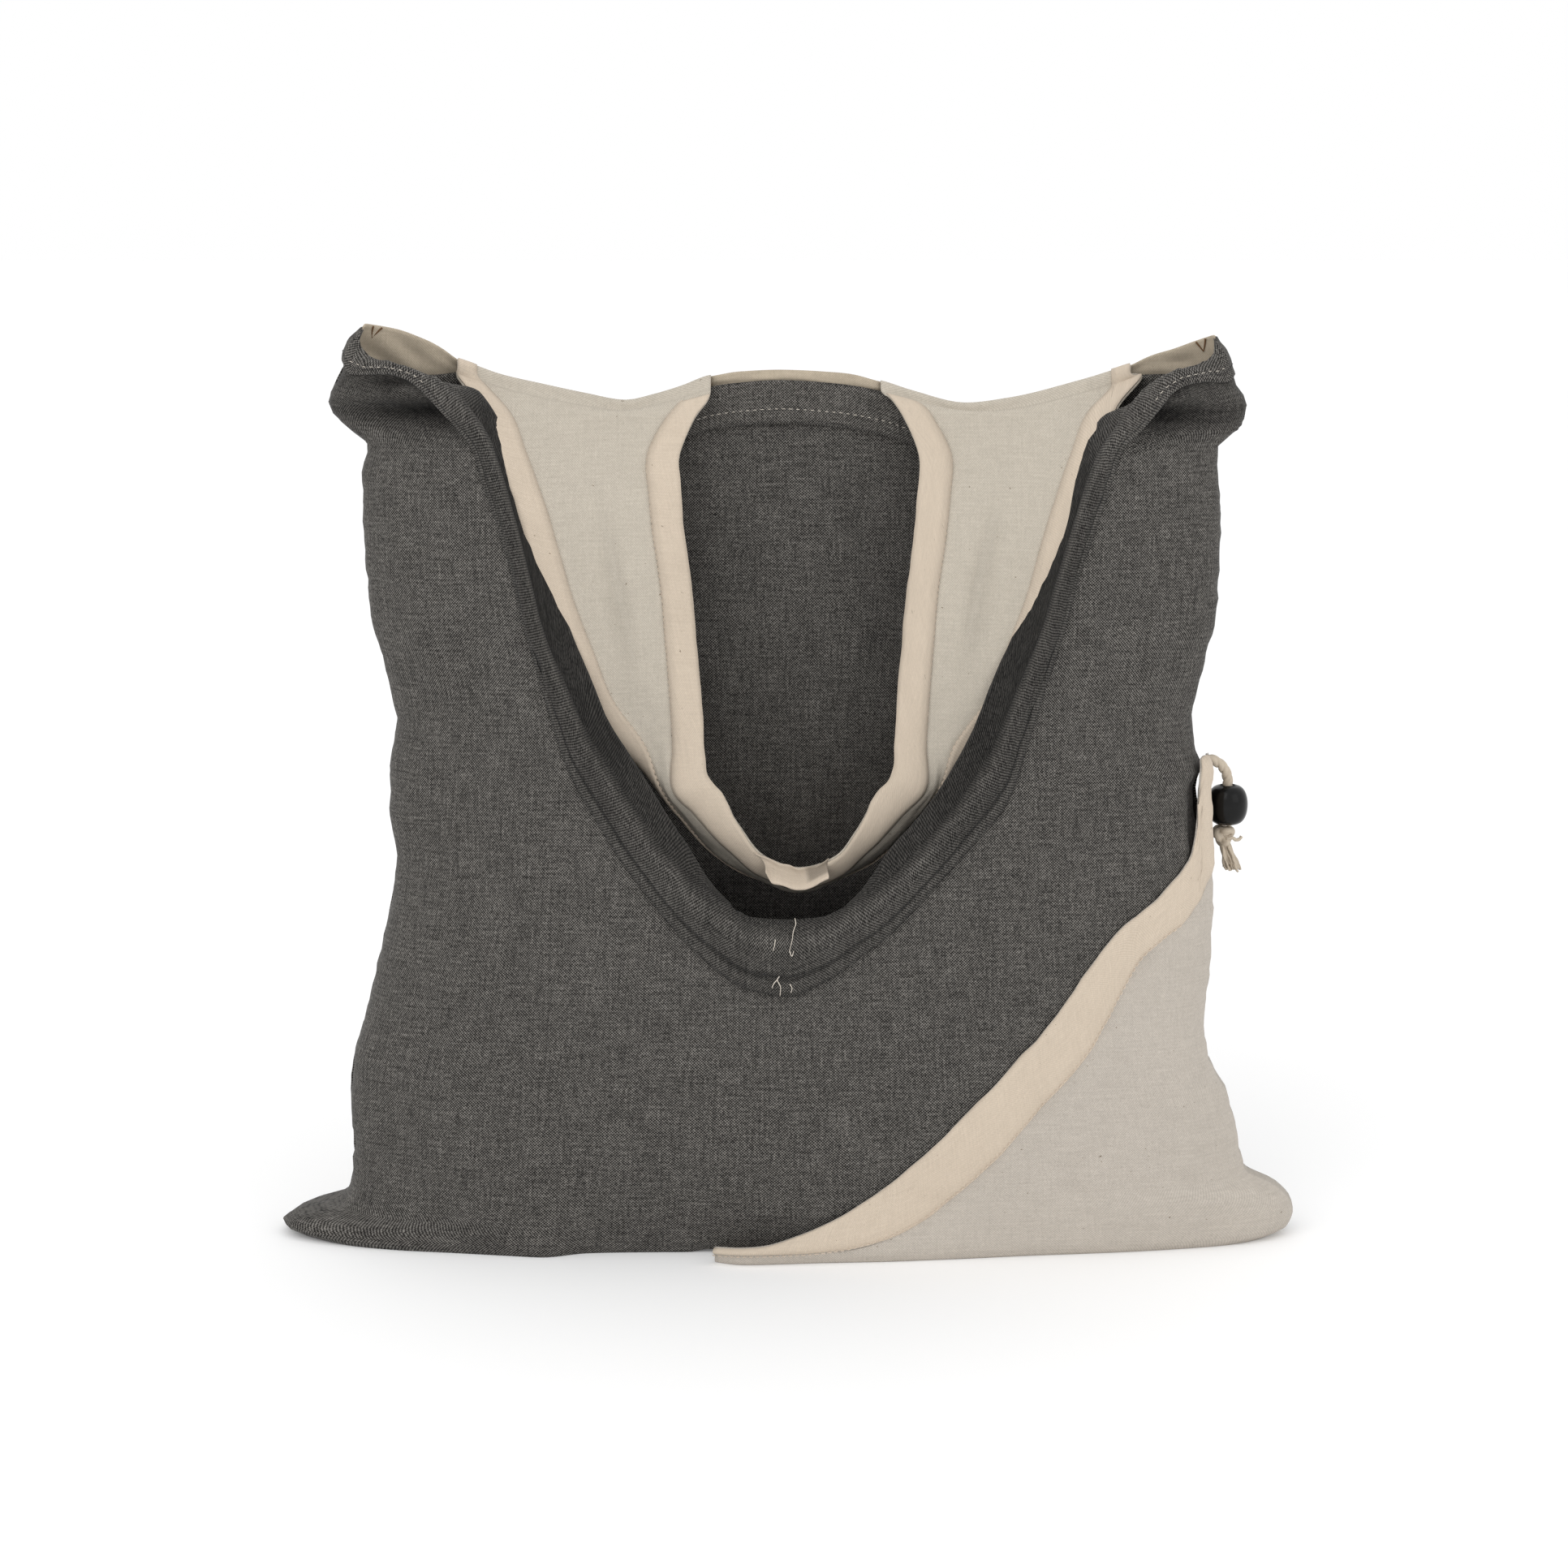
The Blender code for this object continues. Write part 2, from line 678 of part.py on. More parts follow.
whole_handle = handle_cells(0, last_strip, 0, every_row)
handle = cloth_sheet("handle", whole_handle, light_cloth, -1, natural_cotton)
outer_cells = (
    handle_cells(0, left_first, 1, 2)
    + handle_cells(left_first, left_first + 2, 1, every_row)
    + handle_cells(right_last - 2, right_last, 1, every_row)
    + handle_cells(right_last, last_strip, 1, 2)
)
handle_outer_hem = cloth_sheet(
    "handle_outer_hem", raised(outer_cells, whole_handle, layer_gap), light_cloth, 1, hem_cotton
)
inner_cells = (
    handle_cells(left_last - 2, left_last, 1, every_row)
    + handle_cells(left_last, right_first, 1, 2)
    + handle_cells(right_first, right_first + 2, 1, every_row)
)
handle_inner_hem = cloth_sheet(
    "handle_inner_hem", raised(inner_cells, whole_handle, layer_gap), light_cloth, 1, hem_cotton
)

# Draw cord from the pouch's channel over its edge and down through the bead. The
# points are measured from the pouch's edge at the height of the bead.
cord_side = body_point(1.0, 0.474 * side_height, -1, lip=True)
bead_centre = cord_side + (0.0095, 0.0095, 0.0000)
knot_centre = cord_side + (0.0081, 0.0095, -0.0140)
cord_points = [
    (-0.0010, 0.0055, 0.0202),
    (0.0017, 0.0061, 0.0199),
    (0.0042, 0.0070, 0.0188),
    (0.0064, 0.0079, 0.0172),
    (0.0080, 0.0087, 0.0150),
    (0.0091, 0.0093, 0.0125),
    (0.0095, 0.0095, 0.0097),
    (0.0095, 0.0095, 0.0030),
    (0.0095, 0.0095, -0.0040),
    (0.0092, 0.0095, -0.0088),
]


def smooth_route(points, spacing):
    # Evenly spaced points on a smooth curve through the given ones.
    points = np.array(points, float)
    reach = np.concatenate([[0], np.cumsum(np.linalg.norm(np.diff(points, axis=0), axis=1))])
    count = max(3, int(round(reach[-1] / spacing)) + 1)
    places = np.linspace(0, reach[-1], count)
    return np.stack([ease(reach, points[:, axis], places) for axis in range(3)], axis=1)


def tube(name, points, diameter, look):
    line = bpy.data.curves.new(name, "CURVE")
    line.dimensions = "3D"
    line.bevel_depth = diameter / 2
    line.bevel_resolution = 2
    line.use_fill_caps = True
    path = line.splines.new("POLY")
    path.points.add(len(points) - 1)
    for point, place in zip(path.points, points):
        point.co = (*place, 1.0)
    path.use_smooth = True
    thing = bpy.data.objects.new(name, line)
    bag.objects.link(thing)
    return put_in_bag(thing, name, look)


cord_route = smooth_route(cord_side + np.array(cord_points), cord_diameter / 2)
draw_cord = tube("draw_cord", cord_route, cord_diameter, cord_cotton)

# Bead: a rounded barrel turned about its own bore.
profile = bmesh.new()
ring = []
for step in range(9):
    turn = math.radians(-70 + 140 * step / 8)
    ring.append(
        profile.verts.new(
            (bead_diameter / 2 * math.cos(turn) ** 0.8, 0.0, bead_height / 2 * math.sin(turn) / math.sin(math.radians(70)))
        )
    )
ring.append(profile.verts.new((bead_bore / 2, 0.0, bead_height / 2)))
ring.append(profile.verts.new((bead_bore / 2, 0.0, -bead_height / 2)))
for step in range(len(ring)):
    profile.edges.new((ring[step], ring[(step + 1) % len(ring)]))
bead_mesh = bpy.data.meshes.new("cord_bead")
profile.to_mesh(bead_mesh)
profile.free()
cord_bead = bpy.data.objects.new("cord_bead", bead_mesh)
cord_bead.location = bead_centre
bag.objects.link(cord_bead)
turning = cord_bead.modifiers.new("turning", "SCREW")
turning.steps = 18
turning.render_steps = 18
turning.use_merge_vertices = True
turning.merge_threshold = 0.00001
turning.use_normal_calculate = True
put_in_bag(cord_bead, "cord_bead", black_gloss)

# Knot: a lumpy ball of wound cord with a short tail hanging from it.
bpy.ops.mesh.primitive_uv_sphere_add(segments=14, ring_count=9, radius=knot_diameter / 2, location=knot_centre)
cord_knot = bpy.context.object
for vertex in cord_knot.data.vertices:
    place = vertex.co
    turn = math.atan2(place.y, place.x)
    lump = 1 + 0.10 * math.cos(2 * turn + 260 * place.z)
    place.x = place.x * lump
    place.y = place.y * lump
    place.z = place.z * 0.98
tail_points = [
    (knot_centre[0] + 0.0002, knot_centre[1], knot_centre[2] - 0.0010),
    (knot_centre[0] + 0.0014, knot_centre[1] - 0.0004, knot_centre[2] - 0.0062),
    (knot_centre[0] + 0.0030, knot_centre[1] - 0.0008, knot_centre[2] - 0.0122),
]
tail = tube("knot_tail", tail_points, cord_diameter * 0.92, cord_cotton)
tail_mesh = bpy.data.meshes.new_from_object(tail)
bpy.data.objects.remove(tail, do_unlink=True)
tail_piece = bpy.data.objects.new("knot_tail", tail_mesh)
welded = bmesh.new()
welded.from_mesh(tail_mesh)
bmesh.ops.remove_doubles(welded, verts=welded.verts, dist=0.000001)
welded.to_mesh(tail_mesh)
welded.free()
cutters = bpy.data.collections.new("cutters")
bpy.context.scene.collection.children.link(cutters)
cutters.objects.link(tail_piece)
tail_piece.hide_render = True
tail_piece.display_type = "WIRE"
joined = cord_knot.modifiers.new("tail", "BOOLEAN")
joined.operation = "UNION"
joined.solver = "EXACT"
joined.object = tail_piece
put_in_bag(cord_knot, "cord_knot", cord_cotton)

for thing in (cord_bead, cord_knot):
    for face in thing.data.polygons:
        face.use_smooth = True
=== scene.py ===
import math

import bmesh
import bpy
import numpy as np
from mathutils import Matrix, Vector, noise


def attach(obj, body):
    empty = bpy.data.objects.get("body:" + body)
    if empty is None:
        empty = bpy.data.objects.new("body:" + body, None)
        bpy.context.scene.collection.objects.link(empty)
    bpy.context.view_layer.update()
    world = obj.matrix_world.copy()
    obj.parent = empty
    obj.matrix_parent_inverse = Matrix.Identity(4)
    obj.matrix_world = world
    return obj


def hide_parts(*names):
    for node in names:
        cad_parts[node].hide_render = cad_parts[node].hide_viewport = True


# Cotton shopping bag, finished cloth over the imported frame. Metres, Z up, the front faces -Y.

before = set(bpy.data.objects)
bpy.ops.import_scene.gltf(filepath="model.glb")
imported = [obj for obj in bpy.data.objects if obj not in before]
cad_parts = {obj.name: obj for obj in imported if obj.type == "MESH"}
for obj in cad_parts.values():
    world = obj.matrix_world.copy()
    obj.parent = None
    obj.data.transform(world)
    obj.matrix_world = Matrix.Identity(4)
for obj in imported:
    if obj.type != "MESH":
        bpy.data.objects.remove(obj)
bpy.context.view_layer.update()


print("stage: frame loaded")


def linked(name, data):
    made = bpy.data.objects.new(name, data)
    bpy.context.scene.collection.objects.link(made)
    return made


camera = {
    "target": (-0.0014, 0.0, 0.193),
    "distance": 1.75,
    "elevation": 10.5,      # degrees above the floor
    "lens": 96.0,
    "sensorWidth": 36.0,
}


def placeCamera(settings):
    data = bpy.data.cameras.new("camera")
    data.lens = settings["lens"]
    data.sensor_width = settings["sensorWidth"]
    made = linked("camera", data)
    lift = math.radians(settings["elevation"])
    target = Vector(settings["target"])
    away = Vector((0.0, -math.cos(lift), math.sin(lift)))
    made.location = target + settings["distance"] * away
    made.rotation_euler = (-away).to_track_quat("-Z", "Y").to_euler()
    bpy.context.scene.camera = made


placeCamera(camera)

bag = {
    "baseLength": 0.430,
    "sideHeight": 0.386,
    "baseDepth": 0.104,
    "seamEdge": 0.0025,         # blunt width that a panel keeps at its seam
    "seamGap": 0.0004,
    "creaseRadius": 0.0032,     # outer radius of the handle's fold
    "handleHem": 0.0132,
    "backHemWidth": 0.0180,
    "handleCentre": 0.005,
    "toeHeight": 0.030,
    "liftHeight": 0.030,
    "lipHeight": 0.016,
    "tuckDepth": 0.0020,
    "darkCloth": 0.0010,        # thickness of the panels
    "lightCloth": 0.0008,       # thickness of the natural cloth
    "layerGap": 0.0004,
    "pouchStart": -0.16,
    "legStart": (-0.770, 0.800),
    "legEnd": (-0.183, 0.223),
    "legHemShare": 0.131,       # hem width as a share of the leg at the fold
}
halfLength = bag["baseLength"] / 2
sideHeight = bag["sideHeight"]
baseDepth = bag["baseDepth"]


def table(columns, rows):
    return {name: np.array([row[i] for row in rows], float) for i, name in enumerate(columns)}


# Close to the tables in the part's source: lengths are shares of the bag's sizes.
sections = table(
    ("height", "left", "right", "front", "back", "squareness"),
    [
        (0.000, 0.967, 0.953, 0.404, 0.442, 2.6),
        (0.010, 1.000, 0.984, 0.423, 0.481, 2.6),
        (0.023, 0.967, 0.988, 0.433, 0.490, 2.6),
        (0.036, 0.884, 0.981, 0.438, 0.495, 2.7),
        (0.052, 0.867, 0.953, 0.442, 0.500, 2.8),
        (0.073, 0.860, 0.893, 0.442, 0.500, 2.9),
        (0.104, 0.856, 0.884, 0.442, 0.500, 3.0),
        (0.155, 0.860, 0.862, 0.438, 0.500, 3.1),
        (0.202, 0.851, 0.820, 0.433, 0.490, 3.2),
        (0.246, 0.828, 0.810, 0.423, 0.481, 3.2),
        (0.306, 0.800, 0.821, 0.413, 0.466, 3.2),
        (0.376, 0.772, 0.823, 0.404, 0.452, 3.2),
        (0.427, 0.760, 0.816, 0.394, 0.438, 3.2),
        (0.472, 0.772, 0.802, 0.381, 0.424, 3.2),
        (0.502, 0.772, 0.796, 0.370, 0.414, 3.2),
        (0.521, 0.772, 0.806, 0.364, 0.408, 3.2),
        (0.537, 0.768, 0.794, 0.358, 0.402, 3.2),
        (0.575, 0.758, 0.784, 0.346, 0.389, 3.1),
        (0.635, 0.779, 0.807, 0.327, 0.370, 3.0),
        (0.694, 0.805, 0.828, 0.308, 0.351, 2.9),
        (0.790, 0.814, 0.833, 0.269, 0.317, 2.8),
        (0.837, 0.814, 0.826, 0.250, 0.303, 2.7),
        (0.868, 0.802, 0.823, 0.236, 0.293, 2.6),
        (0.889, 0.847, 0.870, 0.236, 0.288, 2.6),
        (0.912, 0.879, 0.879, 0.250, 0.284, 2.6),
        (0.933, 0.867, 0.858, 0.240, 0.269, 2.6),
        (0.953, 0.849, 0.844, 0.212, 0.250, 2.6),
        (0.979, 0.835, 0.828, 0.173, 0.221, 2.6),
        (1.000, 0.809, 0.809, 0.135, 0.192, 2.6),
    ],
)

coreWidth = table(
    ("height", "half"),
    [
        (0.000, 0.862),
        (0.104, 0.858),
        (0.246, 0.820),
        (0.427, 0.770),
        (0.575, 0.760),
        (0.700, 0.800),
        (0.803, 0.812),
        (1.000, 0.812),
    ],
)

mouthLine = table(
    ("across", "rim", "hemLine"),
    [
        (-1.000, 0.992, 0.959),
        (-0.975, 0.972, 0.946),
        (-0.940, 0.961, 0.948),
        (-0.900, 0.957, 0.949),
        (-0.860, 0.951, 0.943),
        (-0.820, 0.944, 0.929),
        (-0.790, 0.937, 0.914),
        (-0.757, 0.925, 0.888),
        (-0.724, 0.902, 0.852),
        (-0.700, 0.868, 0.822),
        (-0.680, 0.845, 0.798),
        (-0.650, 0.800, 0.750),
        (-0.620, 0.743, 0.672),
        (-0.592, 0.676, 0.596),
        (-0.560, 0.628, 0.549),
        (-0.525, 0.583, 0.516),
        (-0.468, 0.544, 0.475),
        (-0.406, 0.503, 0.434),
        (-0.319, 0.448, 0.386),
        (-0.233, 0.412, 0.344),
        (-0.162, 0.391, 0.317),
        (-0.090, 0.371, 0.298),
        (0.000, 0.368, 0.292),
        (0.090, 0.372, 0.308),
        (0.165, 0.389, 0.331),
        (0.258, 0.415, 0.362),
        (0.336, 0.448, 0.396),
        (0.416, 0.486, 0.433),
        (0.480, 0.525, 0.464),
        (0.545, 0.577, 0.497),
        (0.580, 0.622, 0.538),
        (0.612, 0.672, 0.582),
        (0.645, 0.738, 0.655),
        (0.680, 0.795, 0.738),
        (0.715, 0.845, 0.790),
        (0.745, 0.876, 0.832),
        (0.770, 0.903, 0.860),
        (0.800, 0.923, 0.888),
        (0.835, 0.937, 0.913),
        (0.870, 0.946, 0.930),
        (0.905, 0.951, 0.938),
        (0.945, 0.956, 0.940),
        (0.978, 0.966, 0.938),
        (1.000, 0.982, 0.944),
    ],
)

backTop = table(
    ("across", "seam", "upper"),
    [
        (-1.000, 0.951, 0.997),
        (-0.912, 0.943, 0.989),
        (-0.853, 0.937, 0.979),
        (-0.806, 0.938, 0.968),
        (-0.770, 0.940, 0.957),
        (-0.731, 0.936, 0.950),
        (-0.675, 0.926, 0.940),
        (-0.580, 0.915, 0.929),
        (-0.484, 0.905, 0.919),
        (-0.385, 0.897, 0.911),
        (-0.321, 0.903, 0.917),
        (-0.255, 0.912, 0.926),
        (-0.183, 0.923, 0.938),
        (-0.119, 0.927, 0.941),
        (-0.020, 0.930, 0.943),
        (0.120, 0.926, 0.940),
        (0.223, 0.918, 0.932),
        (0.300, 0.907, 0.921),
        (0.426, 0.894, 0.908),
        (0.530, 0.900, 0.914),
        (0.670, 0.917, 0.931),
        (0.800, 0.936, 0.951),
        (0.840, 0.938, 0.959),
        (0.900, 0.939, 0.968),
        (0.950, 0.941, 0.977),
        (1.000, 0.945, 0.985),
    ],
)

pouchLines = table(
    ("across", "edge", "channelLine"),
    [
        (-0.160, 0.014, 0.009),
        (-0.057, 0.017, 0.010),
        (0.025, 0.028, 0.010),
        (0.115, 0.048, 0.012),
        (0.218, 0.080, 0.022),
        (0.316, 0.121, 0.046),
        (0.384, 0.152, 0.075),
        (0.453, 0.183, 0.104),
        (0.530, 0.218, 0.143),
        (0.603, 0.251, 0.178),
        (0.659, 0.281, 0.202),
        (0.712, 0.313, 0.228),
        (0.761, 0.340, 0.262),
        (0.796, 0.358, 0.292),
        (0.851, 0.378, 0.328),
        (0.893, 0.396, 0.345),
        (0.937, 0.419, 0.361),
        (0.956, 0.436, 0.374),
        (0.966, 0.454, 0.380),
        (0.9715, 0.484, 0.386),
        (0.9745, 0.518, 0.390),
        (0.981, 0.534, 0.398),
        (0.990, 0.538, 0.404),
        (1.000, 0.533, 0.410),
    ],
)

frontFoot = table(
    ("across", "toe", "lip"),
    [
        (-1.000, 0.000, 0.000),
        (-0.950, 0.020, 0.000),
        (-0.850, 0.030, 0.000),
        (-0.730, 0.020, 0.000),
        (-0.620, 0.030, 0.000),
        (-0.550, 0.038, 0.000),
        (-0.450, -0.038, 0.000),
        (-0.330, -0.062, 0.000),
        (-0.200, -0.070, 0.100),
        (-0.110, -0.045, 0.145),
        (-0.030, -0.015, 0.110),
        (0.050, 0.000, 0.080),
        (0.210, 0.000, 0.062),
        (0.380, 0.000, 0.034),
        (0.600, 0.000, 0.003),
        (0.850, 0.000, 0.008),
        (0.940, 0.000, 0.024),
        (1.000, 0.000, 0.000),
    ],
)

pouchFlare = table(
    ("height", "out"),
    [
        (0.000, 0.000),
        (0.024, 0.007),
        (0.048, 0.010),
        (0.080, 0.004),
        (0.120, 0.000),
        (0.340, 0.000),
        (0.420, 0.004),
        (0.470, 0.014),
        (0.500, 0.019),
        (0.522, 0.013),
        (0.560, 0.026),
    ],
)

frontDents = table(
    ("across", "up", "halfAcross", "halfUp", "depth"),
    [
        (-0.740, 0.884, 0.180, 0.024, 0.060),
        (0.760, 0.882, 0.170, 0.024, 0.060),
        (-0.600, 0.620, 0.050, 0.180, 0.018),
        (-0.300, 0.200, 0.180, 0.070, 0.022),
        (0.420, 0.420, 0.120, 0.080, 0.016),
        (-0.820, 0.085, 0.120, 0.030, 0.050),
    ],
)

backDents = table(
    ("across", "up", "halfAcross", "halfUp", "depth"),
    [
        (0.100, 0.560, 0.260, 0.120, 0.045),
        (-0.460, 0.300, 0.100, 0.160, 0.030),
        (0.480, 0.260, 0.120, 0.120, 0.026),
    ],
)

legRows = table(
    (
        "outerOut", "outerBack", "outerUp",
        "middleOut", "middleBack", "middleUp",
        "innerOut", "innerBack", "innerUp",
    ),
    [
        (0.660, 0.12, 0.940, 0.354, 0.155, 0.900, 0.174, 0.17, 0.916),
        (0.611, 0.00, 0.910, 0.392, 0.125, 0.884, 0.202, 0.13, 0.894),
        (0.577, -0.10, 0.863, 0.394, 0.08, 0.856, 0.230, 0.09, 0.856),
        (0.546, -0.15, 0.815, 0.387, 0.00, 0.813, 0.228, 0.05, 0.815),
        (0.521, -0.17, 0.767, 0.374, -0.05, 0.766, 0.221, 0.03, 0.768),
        (0.493, -0.17, 0.707, 0.351, -0.08, 0.708, 0.208, 0.01, 0.712),
        (0.456, -0.15, 0.647, 0.328, -0.09, 0.651, 0.199, -0.02, 0.653),
        (0.422, -0.12, 0.598, 0.304, -0.09, 0.597, 0.190, -0.05, 0.598),
        (0.359, -0.08, 0.547, 0.281, -0.09, 0.545, 0.184, -0.09, 0.550),
        (0.282, 0.03, 0.507, 0.270, -0.08, 0.498, 0.177, -0.12, 0.515),
        (0.220, 0.12, 0.463, 0.219, -0.06, 0.465, 0.149, -0.12, 0.496),
        (0.145, 0.21, 0.417, 0.137, -0.03, 0.419, 0.115, -0.13, 0.460),
        (0.078, 0.25, 0.396, 0.071, -0.03, 0.397, 0.071, -0.13, 0.427),
        (0.000, 0.27, 0.382, 0.000, -0.04, 0.387, 0.000, -0.12, 0.413),
    ],
)

# Pleats pushed up under the two tips: height as a share, out in metres.
tipPleats = table(
    ("height", "out"),
    [
        (0.840, 0.0000),
        (0.862, 0.0018),
        (0.884, -0.0024),
        (0.896, -0.0066),
        (0.906, -0.0094),
        (0.914, -0.0060),
        (0.925, 0.0016),
        (0.932, -0.0012),
        (0.940, -0.0090),
        (0.947, -0.0030),
        (0.955, 0.0016),
        (0.965, 0.0008),
        (0.975, 0.0000),
    ],
)


def hermite(t, step, first, firstSlope, second, secondSlope):
    # Cubic curve between two values with given slopes, for t from 0 to 1.
    return (
        (2 * t**3 - 3 * t**2 + 1) * first
        + (t**3 - 2 * t**2 + t) * step * firstSlope
        + (3 * t**2 - 2 * t**3) * second
        + (t**3 - t**2) * step * secondSlope
    )


def ease(xs, ys, where):
    # Monotone cubic curve through the points (xs, ys).
    where = np.clip(np.asarray(where, float), xs[0], xs[-1])
    step = np.diff(xs)
    slope = np.diff(ys) / step
    tangent = np.zeros(len(xs))
    tangent[0] = slope[0]
    tangent[-1] = slope[-1]
    for i in range(1, len(xs) - 1):
        if slope[i - 1] * slope[i] > 0:
            before = 2 * step[i] + step[i - 1]
            after = step[i] + 2 * step[i - 1]
            tangent[i] = (before + after) / (before / slope[i - 1] + after / slope[i])
    i = np.clip(np.searchsorted(xs, where) - 1, 0, len(step) - 1)
    t = (where - xs[i]) / step[i]
    return hermite(t, step[i], ys[i], tangent[i], ys[i + 1], tangent[i + 1])


def read(source, key, where, by="across"):
    return ease(source[by], source[key], where)


def heightOf(source, key, across):
    return read(source, key, across) * sideHeight


def lengthsAlong(points):
    # Length from the first point to each point of a line.
    return np.concatenate([[0.0], np.cumsum(np.linalg.norm(np.diff(points, axis=0), axis=-1))])


def smoothStep(low, high, where):
    t = np.clip((np.asarray(where, float) - low) / (high - low), 0, 1)
    return t * t * (3 - 2 * t)


def softNoise(first, second, size, seed):
    # Smooth noise from -1 to 1 over two lengths, with lumps of about the given size.
    first, second = np.broadcast_arrays(np.asarray(first, float), np.asarray(second, float))
    values = [noise.noise((a / size, b / size, seed)) for a, b in zip(first.ravel(), second.ravel())]
    return np.array(values).reshape(first.shape)


folds = {
    "broad": 0.0028,            # depth of the slow hollows in the panels
    "crumple": 0.0009,          # depth of the small crumples
    "seamPucker": 0.0009,       # depth of the puckers along the side seams
    "footCrush": 0.0010,        # depth of the crush near the floor
    "tipPleat": 1.0,            # strength of the pleats under the tips
    "valleys": ((0.939, 0.008, 0.9), (0.906, 0.016, 1.0)),     # height, width and depth of their shade
    "valleyShade": 0.95,
    "hemShadow": 0.26,          # shade on the panel just below the mouth hem
}


def relief(across, height, facing):
    # How far the cloth stands off its smooth form, in metres.
    across, height = np.broadcast_arrays(np.asarray(across, float), np.asarray(height, float))
    reach = np.abs(across)
    x = across * halfLength
    seed = 3.1 if facing < 0 else 17.4
    free = smoothStep(0.0, 0.035, height)
    inner = 1 - smoothStep(0.86, 1.0, reach)
    out = folds["broad"] * inner * softNoise(x * 1.3, height * 0.8, 0.060, seed)
    slant = x * 1.6 + height * 0.5
    out = out + 0.4 * folds["broad"] * inner * softNoise(slant, height * 0.6, 0.026, seed + 4)
    out = out + folds["crumple"] * inner * softNoise(x, height * 1.4, 0.013, seed + 8)
    edge = smoothStep(0.78, 0.99, reach)
    side = 40.0 if np.mean(across) < 0 else 60.0
    place = reach * 0.02 + side * np.sign(across)
    out = out + folds["seamPucker"] * edge * softNoise(place, height, 0.0085, 71.0)
    out = out + 0.5 * folds["seamPucker"] * edge * softNoise(place, height, 0.0036, 75.0)
    foot = smoothStep(0.075, 0.015, height) * (0.35 + 0.65 * smoothStep(0.45, 0.9, reach))
    out = out + folds["footCrush"] * foot * softNoise(x * 0.5, height * 1.6, 0.010, seed + 21)
    if facing < 0:
        below = heightOf(mouthLine, "hemLine", across) - height
        tip = smoothStep(0.50, 0.68, reach) * (1 - 0.92 * smoothStep(0.86, 1.0, reach))
        tip = tip * smoothStep(0.0, 0.0045, below)
        out = out + folds["tipPleat"] * tip * read(tipPleats, "out", height / sideHeight, "height")
    else:
        below = heightOf(backTop, "seam", across) - height
        out = out * smoothStep(0.008, 0.030, below)
    return out * free


def pouchTuck(across, height):
    # The front panel lies a little deeper where the pouch covers it.
    covered = heightOf(pouchLines, "edge", across) - height
    tuck = bag["tuckDepth"] * smoothStep(0.0, 0.012, covered) * smoothStep(0.0, 0.020, height)
    return np.where(across < bag["pouchStart"], 0.0, tuck)


def floorLift(across):
    # The front panel is raised where the pouch runs beneath it, and at its free corner.
    start = bag["pouchStart"]
    corner = bag["darkCloth"] * smoothStep(0.90, 0.985, -across)
    overPouch = smoothStep(start - 0.07, start - 0.01, across)
    return corner + (bag["layerGap"] + bag["lightCloth"] + 0.0003) * overPouch


def bodyPoint(across, height, facing, lip=False, inset=0.0, rough=True):
    # Points of the bag's outer face. Facing is -1 for the front and 1 for the back.
    across, height = np.broadcast_arrays(np.asarray(across, float), np.asarray(height, float))
    share = height / sideHeight
    side = np.where(
        across < 0, read(sections, "left", share, "height"), read(sections, "right", share, "height")
    )
    half = read(coreWidth, "half", share, "height")
    half = half + (side - half) * across**4
    if lip:
        half = half + read(pouchFlare, "out", share, "height") * smoothStep(0.80, 1.0, across)
    elif facing < 0:
        inset = inset + pouchTuck(across, height)
    if rough:
        inset = inset - relief(across, height, facing)
    half = half * halfLength
    depth = read(sections, "front" if facing < 0 else "back", share, "height") * baseDepth
    power = read(sections, "squareness", share, "height")
    reach = np.abs(across)
    bulge = np.maximum(0.0, 1 - reach**power) ** (1 / power)
    x = half * across
    dents = frontDents if facing < 0 else backDents
    pressed = np.zeros(across.shape)
    for i in range(len(dents["depth"])):
        u = (x / halfLength - dents["across"][i]) / dents["halfAcross"][i]
        v = (share - dents["up"][i]) / dents["halfUp"][i]
        pressed = pressed + dents["depth"][i] * baseDepth * np.exp(-u * u - v * v)
    depth = depth - pressed
    if facing < 0:
        fade = np.exp(-((height / bag["toeHeight"]) ** 2))
        depth = depth + read(frontFoot, "toe", across) * baseDepth * fade
    if lip:
        fade = np.exp(-((height / bag["lipHeight"]) ** 2))
        depth = depth + read(frontFoot, "lip", across) * baseDepth * fade
    y = bag["seamEdge"] + (depth - bag["seamEdge"]) * bulge
    normalX = np.copysign(reach ** (power - 1), across) / half
    normalY = bulge ** (power - 1) / depth
    size = np.hypot(normalX, normalY)
    return np.stack([x - inset * normalX / size, facing * (y - inset * normalY / size), height], axis=-1)


def gridNormals(grid):
    # Unit normals of a grid of points (strips, rows, 3), on the side of strips x rows.
    along = np.gradient(grid, axis=0)
    up = np.gradient(grid, axis=1)
    normal = np.cross(along, up)
    size = np.linalg.norm(normal, axis=-1, keepdims=True)
    return normal / np.maximum(size, 1e-12)


def clothCoordinates(grid):
    # Flat cloth coordinates in metres: lengths measured along the strips and rows.
    strips, rows = grid.shape[:2]
    steps = np.linalg.norm(np.diff(grid, axis=0), axis=-1)
    u = np.concatenate([np.zeros((1, rows)), np.cumsum(steps, axis=0)])
    u = u - u[strips // 2]
    rises = np.linalg.norm(np.diff(grid, axis=1), axis=-1)
    v = np.concatenate([np.zeros((strips, 1)), np.cumsum(rises, axis=1)], axis=1)
    return np.stack([u, v], axis=-1)


